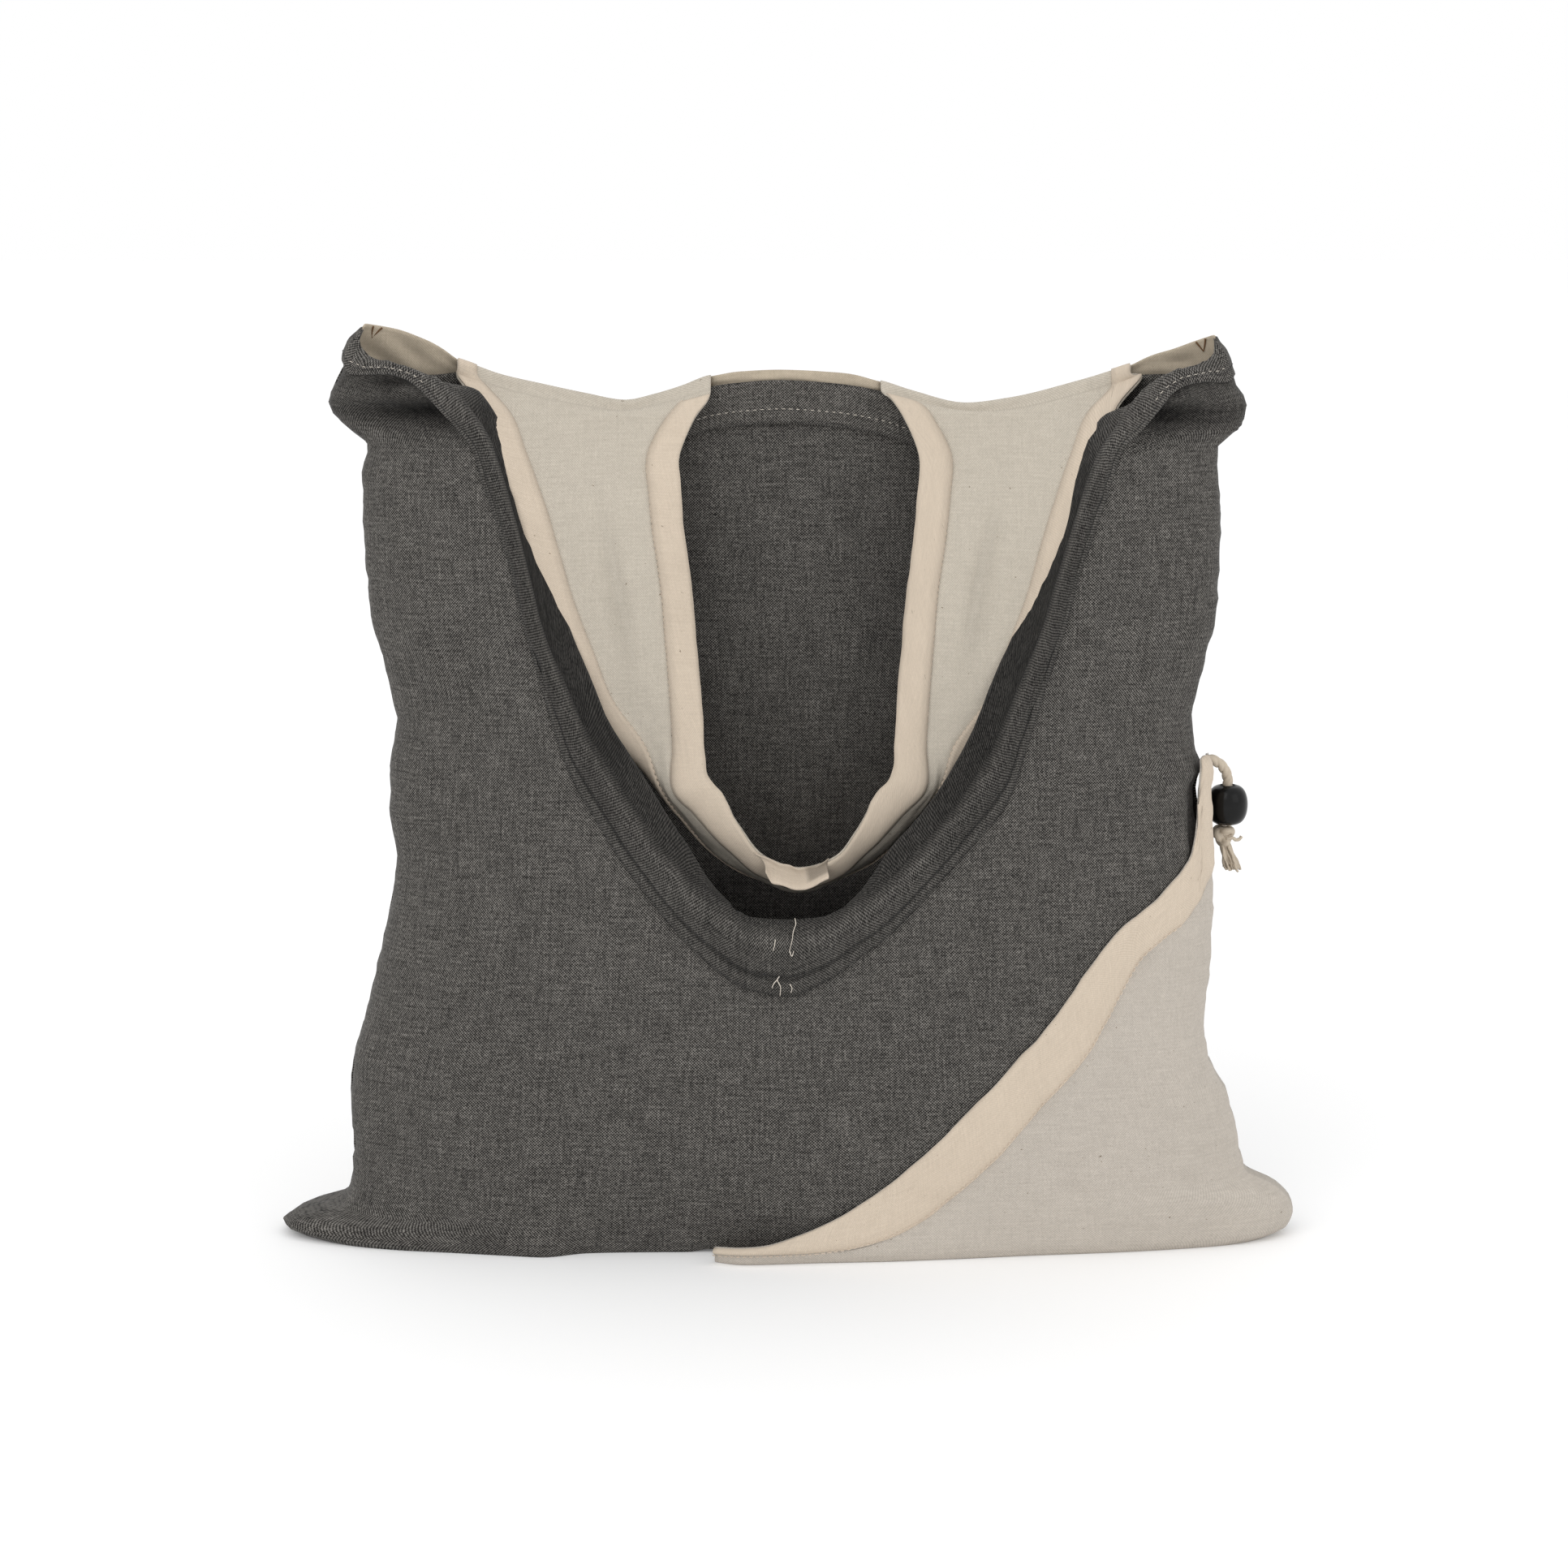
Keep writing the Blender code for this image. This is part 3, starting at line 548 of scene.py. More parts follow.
def clothPiece(name, patches, thickness, side, look):
    # One sheet of cloth made of one or more patches: (grid, flat coordinates, band), where band is painted
    # shade and highlight.
    # Side is 1 where the thickness goes to the side the patch faces, -1 to the other.
    points, faces, flats, bands = [], [], [], []
    count = 0
    for grid, flat, band in patches:
        strips, rows = grid.shape[:2]
        index = count + np.arange(strips * rows).reshape(strips, rows)
        quads = np.stack([index[:-1, :-1], index[1:, :-1], index[1:, 1:], index[:-1, 1:]], axis=-1)
        points.append(grid.reshape(-1, 3))
        faces.append(quads.reshape(-1, 4))
        flats.append(flat.reshape(-1, 2))
        bands.append(np.broadcast_to(band, (strips, rows)).reshape(-1))
        count += strips * rows
    points, faces = np.concatenate(points), np.concatenate(faces)
    flats, bands = np.concatenate(flats), np.concatenate(bands)
    mesh = bpy.data.meshes.new(name)
    mesh.from_pydata(points.tolist(), [], faces.tolist())
    corner = np.zeros(len(mesh.loops), int)
    mesh.loops.foreach_get("vertex_index", corner)
    layer = mesh.uv_layers.new(name="cloth")
    layer.data.foreach_set("uv", flats[corner].astype(np.float32).ravel())
    attribute = mesh.attributes.new("band", "FLOAT", "POINT")
    attribute.data.foreach_set("value", bands.astype(np.float32))
    work = bmesh.new()
    work.from_mesh(mesh)
    bmesh.ops.remove_doubles(work, verts=work.verts, dist=0.00002)
    bmesh.ops.dissolve_degenerate(work, edges=work.edges, dist=0.000002)
    for face in work.faces:
        face.smooth = True
    work.to_mesh(mesh)
    work.free()
    mesh.materials.append(look)
    piece = linked(name, mesh)
    wall = piece.modifiers.new("thickness", "SOLIDIFY")
    wall.thickness = thickness
    wall.offset = side
    wall.use_even_offset = False
    wall.use_rim = True
    return piece


class Value:
    # A number socket in a material, so that shader maths reads as plain expressions.
    def __init__(self, nodes, socket):
        self.nodes = nodes
        self.socket = socket

    def math(self, operation, *others):
        settings = {"operation": operation}
        values = {i: part for i, part in enumerate((self,) + others)}
        return Value(self.nodes, self.nodes.add("ShaderNodeMath", settings, values).outputs[0])

    def __add__(self, other):
        return self.math("ADD", other)

    __radd__ = __add__

    def __mul__(self, other):
        return self.math("MULTIPLY", other)

    __rmul__ = __mul__

    def __sub__(self, other):
        return self.math("SUBTRACT", other)

    def __rsub__(self, other):
        return (self * -1.0) + other

    def __truediv__(self, other):
        return self.math("DIVIDE", other)

    def __rtruediv__(self, other):
        return self.math("POWER", -1.0) * other

    def __pow__(self, other):
        return self.math("POWER", other)

    def sine(self):
        return self.math("SINE")

    def size(self):
        return self.math("ABSOLUTE")

    def ramp(self, low, high):
        # 0 below low and 1 above high, smooth between them.
        made = self.nodes.add(
            "ShaderNodeMapRange",
            {"interpolation_type": "SMOOTHSTEP", "clamp": True},
            {"Value": self, "From Min": low, "From Max": high},
        )
        return Value(self.nodes, made.outputs["Result"])


class Nodes:
    # Adds nodes to one material's tree.
    def __init__(self, name):
        self.material = bpy.data.materials.new(name)
        self.material.use_nodes = True
        self.tree = self.material.node_tree
        self.shader = self.tree.nodes["Principled BSDF"]

    def add(self, kind, settings=None, values=None):
        node = self.tree.nodes.new(kind)
        for key, setting in (settings or {}).items():
            setattr(node, key, setting)
        for key, value in (values or {}).items():
            self.put(node, key, value)
        return node

    def put(self, node, key, value):
        socket = value.socket if isinstance(value, Value) else value
        if isinstance(socket, bpy.types.NodeSocket):
            self.tree.links.new(socket, node.inputs[key])
        else:
            node.inputs[key].default_value = socket

    def mix(self, factor, first, second, blend="MIX"):
        node = self.add("ShaderNodeMix", {"data_type": "RGBA", "blend_type": blend, "clamp_factor": True})
        for key, value in (("Factor_Float", factor), ("A_Color", first), ("B_Color", second)):
            target = next(item for item in node.inputs if item.identifier == key)
            value = value.socket if isinstance(value, Value) else value
            if isinstance(value, bpy.types.NodeSocket):
                self.tree.links.new(value, target)
            else:
                target.default_value = (*value, 1.0) if isinstance(value, tuple) else value
        return next(item for item in node.outputs if item.identifier == "Result_Color")

    def noise(self, place, scale, detail=2.0, roughness=0.5):
        # Noise from 0 to 1 of a place that is stretched by scale, in lumps per metre.
        stretched = self.add("ShaderNodeMapping", {"vector_type": "POINT"}, {"Vector": place, "Scale": scale})
        made = self.add(
            "ShaderNodeTexNoise",
            {"noise_dimensions": "3D", "normalize": True},
            {
                "Vector": stretched.outputs["Vector"],
                "Scale": 1.0,
                "Detail": detail,
                "Roughness": roughness,
            },
        )
        return Value(self, made.outputs[0])

    def scaled(self, vector, factor):
        made = self.add("ShaderNodeVectorMath", {"operation": "SCALE"}, {"Vector": vector, "Scale": factor})
        return made.outputs["Vector"]

    def finish(self, colour, roughness, height, distance, strength):
        self.put(self.shader, "Base Color", colour)
        self.put(self.shader, "Roughness", roughness)
        bump = self.add(
            "ShaderNodeBump", None, {"Height": height, "Distance": distance, "Strength": strength}
        )
        self.put(self.shader, "Normal", bump.outputs["Normal"])
        return self.material


darkCotton = {
    "name": "darkCotton",
    "pitch": 0.00056,                       # from one thread to the next
    "light": (0.200, 0.188, 0.172),         # pale weft yarn
    "dark": (0.010, 0.009, 0.008),          # dark warp yarn
    "cover": 0.44,                          # share of the pale yarn on the face
    "warpVariation": 0.80,
    "weftVariation": 0.14,
    "slub": 0.24,
    "fleck": 0.55,
    "fleckColour": (0.42, 0.40, 0.36),
    "speck": (0.008, 0.008, 0.008),
    "mottle": 0.20,
    "roughness": 0.92,
    "bump": 0.00016,
}
naturalCotton = {
    "name": "naturalCotton",
    "pitch": 0.00050,
    "light": (0.560, 0.508, 0.430),
    "dark": (0.440, 0.396, 0.330),
    "cover": 0.50,
    "warpVariation": 0.09,
    "weftVariation": 0.05,
    "slub": 0.05,
    "fleck": 0.12,
    "fleckColour": (0.66, 0.62, 0.55),
    "speck": (0.170, 0.130, 0.090),
    "mottle": 0.07,
    "roughness": 0.90,
    "bump": 0.00010,
}
pouchCotton = dict(
    naturalCotton,
    name="pouchCotton",
    light=(0.540, 0.490, 0.430),
    dark=(0.425, 0.384, 0.335),
    mottle=0.09,
)
hemCotton = dict(
    naturalCotton,
    name="hemCotton",
    pitch=0.00042,
    light=(0.640, 0.545, 0.440),
    dark=(0.545, 0.458, 0.362),
    warpVariation=0.09,
    weftVariation=0.06,
    fleckColour=(0.70, 0.62, 0.53),
    mottle=0.05,
)
# A darker copy of the natural cotton: painted shade for the riser, which sits in shadow inside the back.
shadedRiserCotton = dict(
    naturalCotton,
    name="shadedRiserCotton",
    light=(0.520, 0.445, 0.345),
    dark=(0.415, 0.350, 0.265),
    mottle=0.14,
)


def clothMaterial(look):
    # Plain weave in flat cloth coordinates, with uneven yarn, slubs, flecks and specks.
    nodes = Nodes(look["name"])
    flat = nodes.add("ShaderNodeUVMap", {"uv_map": "cloth"}).outputs["UV"]
    solid = nodes.add("ShaderNodeTexCoord").outputs["Object"]
    drift = nodes.noise(flat, (90.0, 90.0, 1.0), 2.0)
    parts = nodes.add("ShaderNodeSeparateXYZ", None, {"Vector": flat})
    pitch = look["pitch"]
    across = Value(nodes, parts.outputs["X"]) / pitch + (drift - 0.5) * 1.6
    along = Value(nodes, parts.outputs["Y"]) / pitch + (drift - 0.5) * 1.2
    lattice = (across * math.pi).sine() * (along * math.pi).sine()
    weftYarn = nodes.noise(flat, (70.0, 0.6 / pitch, 1.0), 2.0)
    warpYarn = nodes.noise(flat, (0.5 / pitch, 75.0, 1.0), 3.0, 0.6)
    fine = nodes.noise(flat, (0.62 / pitch, 0.45 / pitch, 1.0), 2.0, 0.7)
    cover = lattice + (fine - 0.5) * 2.4 + (weftYarn - 0.5) * 0.8 + (look["cover"] - 0.5) * 2.0
    over = cover.ramp(-0.55, 0.75)
    slub = nodes.noise(flat, (150.0, 0.42 / pitch, 1.0), 3.0, 0.6).ramp(0.60, 0.76)
    darkSlub = nodes.noise(flat, (190.0, 0.36 / pitch, 3.0), 2.0, 0.6).ramp(0.62, 0.74)
    flecks = nodes.noise(flat, (0.50 / pitch, 0.30 / pitch, 1.0), 2.0, 0.6).ramp(0.66, 0.78) * over
    cloud = nodes.noise(solid, (22.0, 22.0, 22.0), 4.0, 0.6)
    grain = nodes.noise(flat, (330.0, 240.0, 1.0), 3.0, 0.65)
    base = nodes.mix(over, look["dark"], look["light"])
    tone = 1.0 + (weftYarn - 0.5) * look["weftVariation"] * 2.0
    tone = tone + (warpYarn - 0.5) * look["warpVariation"] * 2.0
    streak = nodes.noise(flat, (420.0, 26.0, 1.0), 2.0)
    tone = tone + (streak - 0.5) * look["warpVariation"] * 0.45
    tone = tone + (cloud - 0.5) * look["mottle"] * 1.2 + (grain - 0.5) * look["mottle"] * 2.0
    tone = tone + (slub * over - darkSlub * 0.35) * look["slub"]
    colour = nodes.mix(flecks * look["fleck"], nodes.scaled(base, tone), look["fleckColour"])
    specks = nodes.noise(flat, (430.0, 620.0, 1.0), 2.0, 0.5).ramp(0.725, 0.765)
    colour = nodes.mix(specks * 0.8, colour, look["speck"])
    # The band attribute paints shade and highlights into the colour: the colour times one plus band.
    band = Value(nodes, nodes.add("ShaderNodeAttribute", {"attribute_name": "band"}).outputs["Fac"])
    colourWithPaintedLight = nodes.scaled(colour, 1.0 + band)
    height = lattice * 0.30 + slub * 0.6 + fine * 0.5 + grain * 0.5
    rough = look["roughness"] - (fine - 0.5) * 0.12
    nodes.shader.inputs["Specular IOR Level"].default_value = 0.22
    nodes.shader.inputs["Sheen Weight"].default_value = 0.05
    nodes.shader.inputs["Sheen Roughness"].default_value = 0.5
    return nodes.finish(colourWithPaintedLight, rough, height, look["bump"], 0.55)


def threadMaterial(name, colour, variation):
    nodes = Nodes(name)
    solid = nodes.add("ShaderNodeTexCoord").outputs["Object"]
    fine = nodes.noise(solid, (2600.0, 2600.0, 2600.0), 2.0)
    slow = nodes.noise(solid, (160.0, 160.0, 160.0), 2.0)
    tone = 1.0 + (fine - 0.5) * variation + (slow - 0.5) * variation
    return nodes.finish(nodes.scaled(colour, tone), 0.85 - (fine - 0.5) * 0.1, fine, 0.00008, 0.5)


def beadMaterial():
    # Black lacquer over turned wood: glossy, with faint waves, dust and rubbed spots.
    nodes = Nodes("blackGloss")
    solid = nodes.add("ShaderNodeTexCoord").outputs["Object"]
    dust = nodes.noise(solid, (2400.0, 2400.0, 2400.0), 3.0, 0.7)
    wave = nodes.noise(solid, (160.0, 160.0, 420.0), 3.0, 0.5)
    colour = nodes.mix(dust.ramp(0.62, 0.80) * 0.4, (0.004, 0.004, 0.004), (0.016, 0.016, 0.017))
    rough = 0.20 + (wave - 0.5) * 0.14 + dust.ramp(0.62, 0.80) * 0.12
    nodes.shader.inputs["Specular IOR Level"].default_value = 0.22
    return nodes.finish(colour, rough, wave + dust * 0.10, 0.00010, 0.30)


darkLook = clothMaterial(darkCotton)
naturalLook = clothMaterial(naturalCotton)
pouchLook = clothMaterial(pouchCotton)
hemLook = clothMaterial(hemCotton)
shadedRiserLook = clothMaterial(shadedRiserCotton)
cordLook = threadMaterial("cordCotton", (0.53, 0.455, 0.36), 0.35)
paleThread = threadMaterial("paleThread", (0.66, 0.60, 0.52), 0.3)
hemThread = threadMaterial("hemThread", (0.60, 0.50, 0.40), 0.3)
darkThread = threadMaterial("darkThread", (0.022, 0.021, 0.021), 0.5)
brownThread = threadMaterial("brownThread", (0.150, 0.080, 0.035), 0.4)
beadLook = beadMaterial()
print("stage: materials")


def declared(piece, slotName, *nodes):
    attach(piece, "root")
    if nodes:
        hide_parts(*nodes)
    return piece


# Draw cord, bead and knot. The route is the part's, with its start at the channel's end.
cordRoute = [
    (0.17585, 0.0030, 0.20276),
    (0.17765, 0.0036, 0.20276),
    (0.17975, 0.0045, 0.20176),
    (0.18195, 0.0054, 0.20016),
    (0.18355, 0.0062, 0.19796),
    (0.18465, 0.0068, 0.19546),
    (0.18505, 0.0070, 0.19266),
    (0.18505, 0.0070, 0.18596),
    (0.18505, 0.0070, 0.17896),
    (0.18475, 0.0070, 0.17416),
]
cordEnd = {
    "cordDiameter": 0.0044,
    "strands": 3,
    "twist": 0.011,             # length of one turn of the strands
    "beadCentre": (0.18505, 0.0070, 0.18296),
    "beadDiameter": 0.0172,
    "beadHeight": 0.0168,
    "beadBore": 0.0054,
    "knotCentre": (0.18365, 0.0070, 0.16990),
    "knotSize": 0.0104,
    "tailLength": 0.0125,
    "tailStrands": 46,
    "strandRadius": 0.00062,
    "stray": [                  # a loose strand that leaves the knot, from its centre
        (0.0010, -0.0030, -0.0010),
        (0.0034, -0.0034, -0.0006),
        (0.0052, -0.0030, -0.0016),
        (0.0066, -0.0026, -0.0012),
        (0.0074, -0.0022, -0.0002),
    ],
}


def finishedPiece(work, name, looks):
    mesh = bpy.data.meshes.new(name)
    work.to_mesh(mesh)
    work.free()
    for look in looks:
        mesh.materials.append(look)
    return linked(name, mesh)


def closedPiece(work, name, look):
    bmesh.ops.recalc_face_normals(work, faces=work.faces)
    for face in work.faces:
        face.smooth = True
    return finishedPiece(work, name, [look])


def smoothRoute(points, count):
    points = np.array(points, float)
    reach = lengthsAlong(points)
    places = np.linspace(0, reach[-1], count)
    return np.stack([ease(reach, points[:, axis], places) for axis in range(3)], axis=1)


def ropeMesh(name, route, radius, look, strands=3, twist=0.011, sides=30, taper=None, depth=0.20):
    # A tube of twisted strands along a route, closed at both ends.
    route = np.array(route, float)
    tangent = np.gradient(route, axis=0)
    tangent = tangent / np.linalg.norm(tangent, axis=1, keepdims=True)
    side = np.cross(tangent[0], (0.31, 0.92, 0.22))
    side = side / np.linalg.norm(side)
    reach = lengthsAlong(route)
    taper = np.ones(len(route)) if taper is None else taper
    rings = []
    for i, point in enumerate(route):
        side = side - tangent[i] * np.dot(side, tangent[i])
        side = side / np.linalg.norm(side)
        other = np.cross(tangent[i], side)
        turn = np.linspace(0, 2 * math.pi, sides, endpoint=False)
        phase = strands * (turn - 2 * math.pi * reach[i] / twist)
        swell = 1 - depth * (0.5 - 0.5 * np.cos(phase)) ** 3
        ring = radius * taper[i] * swell
        rings.append(point + np.outer(ring * np.cos(turn), side) + np.outer(ring * np.sin(turn), other))
    work = bmesh.new()
    loops = [[work.verts.new(p) for p in ring] for ring in rings]
    for i in range(len(loops) - 1):
        for j in range(sides):
            k = (j + 1) % sides
            work.faces.new((loops[i][j], loops[i][k], loops[i + 1][k], loops[i + 1][j]))
    for ring, centre in ((loops[0], route[0]), (loops[-1], route[-1])):
        tip = work.verts.new(centre)
        for j in range(sides):
            work.faces.new((tip, ring[j], ring[(j + 1) % sides]))
    return closedPiece(work, name, look)


def joined(name, pieces):
    # Several meshes made into one object with its place in its mesh.
    work = bmesh.new()
    looks = []
    for piece in pieces:
        first = len(work.faces)
        work.from_mesh(piece.data)
        look = piece.data.materials[0]
        if look not in looks:
            looks.append(look)
        work.faces.ensure_lookup_table()
        for face in work.faces[first:]:
            face.material_index = looks.index(look)
    for piece in pieces:
        bpy.data.objects.remove(piece, do_unlink=True)
    return finishedPiece(work, name, looks)


route = smoothRoute(cordRoute, 30)
cordPiece = ropeMesh(
    "drawCord",
    smoothRoute(cordRoute, 110),
    cordEnd["cordDiameter"] / 2,
    cordLook,
    cordEnd["strands"],
    cordEnd["twist"],
)
declared(cordPiece, "cord_cotton", "draw_cord")


def turnedBead(settings):
    # Flat-ended barrel with soft shoulders, turned about its bore.
    radius, half, bore = settings["beadDiameter"] / 2, settings["beadHeight"] / 2, settings["beadBore"] / 2
    profile = [(bore, -half * 0.94), (bore + 0.0006, -half)]
    for step in range(25):
        turn = math.radians(-82 + 164 * step / 24)
        profile.append((radius * math.cos(turn) ** 0.52, half * math.sin(turn) / math.sin(math.radians(82))))
    profile += [(bore + 0.0006, half), (bore, half * 0.94)]
    work = bmesh.new()
    rings = []
    for i in range(64):
        turn = 2 * math.pi * i / 64
        ring = [Vector((r * math.cos(turn), r * math.sin(turn), z)) for r, z in profile]
        rings.append([work.verts.new(Vector(settings["beadCentre"]) + place) for place in ring])
    for i in range(64):
        for j in range(len(profile)):
            k = (j + 1) % len(profile)
            work.faces.new((rings[i][j], rings[(i + 1) % 64][j], rings[(i + 1) % 64][k], rings[i][k]))
    return closedPiece(work, "cordBead", beadLook)


beadPiece = declared(turnedBead(cordEnd), "black_gloss", "cord_bead")


def tiedKnot(settings):
    # An overhand knot pulled tight, and a frayed tail of loose strands below it.
    centre = np.array(settings["knotCentre"])
    size = settings["knotSize"]
    t = np.linspace(0, 2 * math.pi, 150)
    loop = np.stack(
        [
            (np.sin(t) + 1.7 * np.sin(2 * t)) * size * 0.115,
            np.sin(3 * t) * size * 0.17,
            (np.cos(t) - 1.7 * np.cos(2 * t)) * size * 0.115,
        ],
        axis=1,
    )
    knot = ropeMesh("knotLoop", centre + loop, size * 0.20, cordLook, 3, 0.010, 24)
    heart = ropeMesh(
        "knotHeart",
        [centre + (0, 0, size * k) for k in (-0.30, -0.10, 0.12, 0.34)],
        size * 0.25,
        cordLook,
        3,
        0.012,
        20,
    )
    start = centre + np.array((0.0002, 0.0, -0.0020))
    drop = np.array((0.0034, -0.0010, -1.0)) * settings["tailLength"]
    drop[0], drop[1] = 0.0040, -0.0009
    parts = [knot, heart]
    rng = np.random.default_rng(7)
    for i in range(settings["tailStrands"]):
        turn = rng.uniform(0, 2 * math.pi)
        spread = math.sqrt(rng.uniform(0, 1))
        offset = np.array((math.cos(turn), math.sin(turn), 0.0)) * spread
        length = rng.uniform(0.78, 1.08)
        line = []
        for step in range(15):
            s = step / 14
            width = 0.0017 + 0.0016 * s
            curl = 0.0005 * s * np.array((math.sin(9 * s + turn * 3), math.cos(8 * s + turn * 5), 0))
            line.append(start + drop * s * length + offset * width + curl)
        taper = np.linspace(1.0, 0.72, 15)
        parts.append(ropeMesh("strand", line, settings["strandRadius"], cordLook, 2, 0.003, 7, taper, 0.1))
    stray = smoothRoute([centre + np.array(point) for point in settings["stray"]], 24)
    parts.append(ropeMesh("stray", stray, 0.00085, cordLook, 2, 0.004, 12, np.linspace(1.0, 0.85, 24)))
    return joined("cordKnot", parts)


knotPiece = declared(tiedKnot(cordEnd), "cord_cotton", "cord_knot")
print("stage: cord")

panels = {
    "columns": 190,             # strips of the front panel
    "rows": 112,                # rows below the mouth hem
    "hemRows": 18,
    "rimRoll": 0.0062,          # how far the mouth's rim rolls inwards
    "rollRows": 8,
    "rollReach": 0.058,         # how far the rolled rim reaches into the mouth
    "rollDepth": 0.0105,        # and how far it sinks into the bag there
    "groove": 0.26,             # where the stitch groove runs across the hem
    "hemPuff": 0.0016,
    "stripPuff": 0.0007,
    "backColumns": 150,
    "backRows": 100,
}


def acrossPlaces(count, crowd=0.0):
    # Places from seam to seam, closer together near the seams.
    t = np.linspace(-1, 1, count)
    return np.sin(t * math.pi / 2 * (0.62 + crowd)) / math.sin(math.pi / 2 * (0.62 + crowd))


def rimInset(v, across):
    # The upper part of the mouth's band rolls over to the inside.
    strength = 1 - 0.75 * smoothStep(0.70, 0.84, np.abs(across))
    return panels["rimRoll"] * strength * smoothStep(0.52, 1.0, v) ** 1.4


def footRows(across, facing, lip=False):
    # Strips from the seam under the bag outwards to the front or back edge.
    lift = floorLift(across) if facing < 0 and not lip else np.zeros(across.shape)
    lift = lift + (bag["layerGap"] + bag["lightCloth"] if lip else 0.0)
    foot = bodyPoint(across, np.zeros(across.shape), facing, lip)
    shares = np.linspace(0, 0.94, 10)
    rows = []
    for share in shares:
        y = facing * bag["seamGap"] / 2 * (1 - share) + foot[:, 1] * share
        rows.append(np.stack([foot[:, 0], y, lift], axis=-1))
    return rows, lift


def bodyGrid(across, heightRows, facing, lip=False, insets=None):
    rows, lift = footRows(across, facing, lip)
    for i, heights in enumerate(heightRows):
        inset = 0.0 if insets is None else insets[i]
        row = bodyPoint(across, heights, facing, lip, inset)
        row[:, 2] += lift * np.maximum(0.0, 1 - heights / bag["liftHeight"])
        rows.append(row)
    return np.stack(rows, axis=1)


arcPlaces = np.linspace(0, 1, 400)
arcPoints = bodyPoint(arcPlaces, np.full(400, 0.45 * sideHeight), 1, rough=False)
arcLengths = lengthsAlong(arcPoints)
pleatHeights = np.linspace(0.82, 0.98, 160) * sideHeight
pleatOut = read(tipPleats, "out", pleatHeights / sideHeight, "height")
pleatSteps = np.hypot(np.diff(pleatHeights), np.diff(pleatOut)) - np.diff(pleatHeights)
pleatExtra = np.concatenate([[0.0], np.cumsum(pleatSteps)])


def panelFlat(grid, across, front=0.0):
    # Flat cloth coordinates of a panel: threads upright from the floor to the top, and
    # measured round the side at one height.
    ends = np.append(arcLengths, arcLengths[-1] + 0.003)
    reach = np.interp(np.abs(across), np.append(arcPlaces, 1.01), ends)
    u = np.broadcast_to((np.sign(across) * reach)[:, None], grid.shape[:2])
    foot = np.abs(grid[:, 10, 1])[:, None]
    under = np.abs(grid[..., 1]) - foot
    v = np.where(np.arange(grid.shape[1])[None, :] < 10, under, grid[..., 2])
    pleated = smoothStep(0.50, 0.68, np.abs(across)) * (1 - 0.7 * smoothStep(0.86, 1.0, np.abs(across)))
    v = v + np.interp(grid[..., 2], pleatHeights, pleatExtra) * pleated[:, None] * front
    return np.stack([u, v], axis=-1)


def seamed(grid, facing, left=True, right=True):
    # The strips at the seams get one more strip in the seam plane.
    def closing(strip):
        closed = strip.copy()
        closed[:, 1] = facing * bag["seamGap"] / 2
        return closed[None]

    parts = ([closing(grid[0])] if left else []) + [grid] + ([closing(grid[-1])] if right else [])
    return np.concatenate(parts)


def frontRows(across):
    line = heightOf(mouthLine, "hemLine", across)
    reach = np.abs(across)
    rim = heightOf(mouthLine, "rim", across)
    scallop = 0.0004 + 0.0009 * smoothStep(0.70, 0.85, np.abs(across))
    rim = rim + scallop * softNoise(across * halfLength, 0.0, 0.0042, 91.0)
    low = np.linspace(0, 1, panels["rows"])
    low = 0.35 * low**1.8 + 0.65 * low
    heights = [line * t for t in low]
    insets = [np.zeros(across.shape)] * len(heights)
    for k in range(1, panels["hemRows"] + 1):
        v = k / panels["hemRows"]
        heights.append(line + (rim - line) * v)
        insets.append(rimInset(v, across))
    window = smoothStep(0.13, 0.27, reach) * (1 - smoothStep(0.72, 0.80, reach))
    for k in range(1, panels["rollRows"] + 1):
        w = k / panels["rollRows"] * window
        reachOut = panels["rollReach"] * (1 - 0.45 * smoothStep(0.52, 0.66, reach)) * w
        rolled = heightOf(mouthLine, "rim", across + np.sign(across) * reachOut)
        heights.append(np.maximum(rolled, rim + (reachOut * 0.02)))
        insets.append(insets[panels["rows"] + panels["hemRows"] - 1] + panels["rollDepth"] * w**1.3)
    return heights, insets


def hemLift(v, across, height):
    # Height of the hem over the panel: a soft strip, a stitched groove, a puffed band.
    # Near the tips it is one puffed band.
    groove = panels["groove"]
    reach = np.abs(across)
    tip = smoothStep(0.70, 0.80, reach)
    ends = 1 - 0.85 * smoothStep(0.90, 1.0, reach)
    pucker = 1 + 0.55 * softNoise(across * 0.45, v * 0.004, 0.0085, 33.0)
    fine = 0.00022 * softNoise(across * 0.45, v * 0.012, 0.0032, 38.0)
    strip = panels["stripPuff"] * np.sin(math.pi * np.clip(v / groove, 0, 1)) ** 0.6
    rise = np.clip((v - groove) / (1 - groove), 0, 1)
    puff = panels["hemPuff"] * np.sin(math.pi * rise**0.80) ** 0.7
    whole = panels["hemPuff"] * 0.9 * np.sin(math.pi * min(v, 1.0) ** 0.6) ** 0.5
    return bag["layerGap"] * 0.4 + ends * (((strip + puff) * (1 - tip) + whole * tip) * pucker + fine)


frontAcross = acrossPlaces(panels["columns"])
heights, insets = frontRows(frontAcross)
frontGrid = seamed(bodyGrid(frontAcross, heights, -1, False, insets), -1)
frontNormals = gridNormals(frontGrid)
hemAcross = np.concatenate([[-1.01], frontAcross, [1.01]])


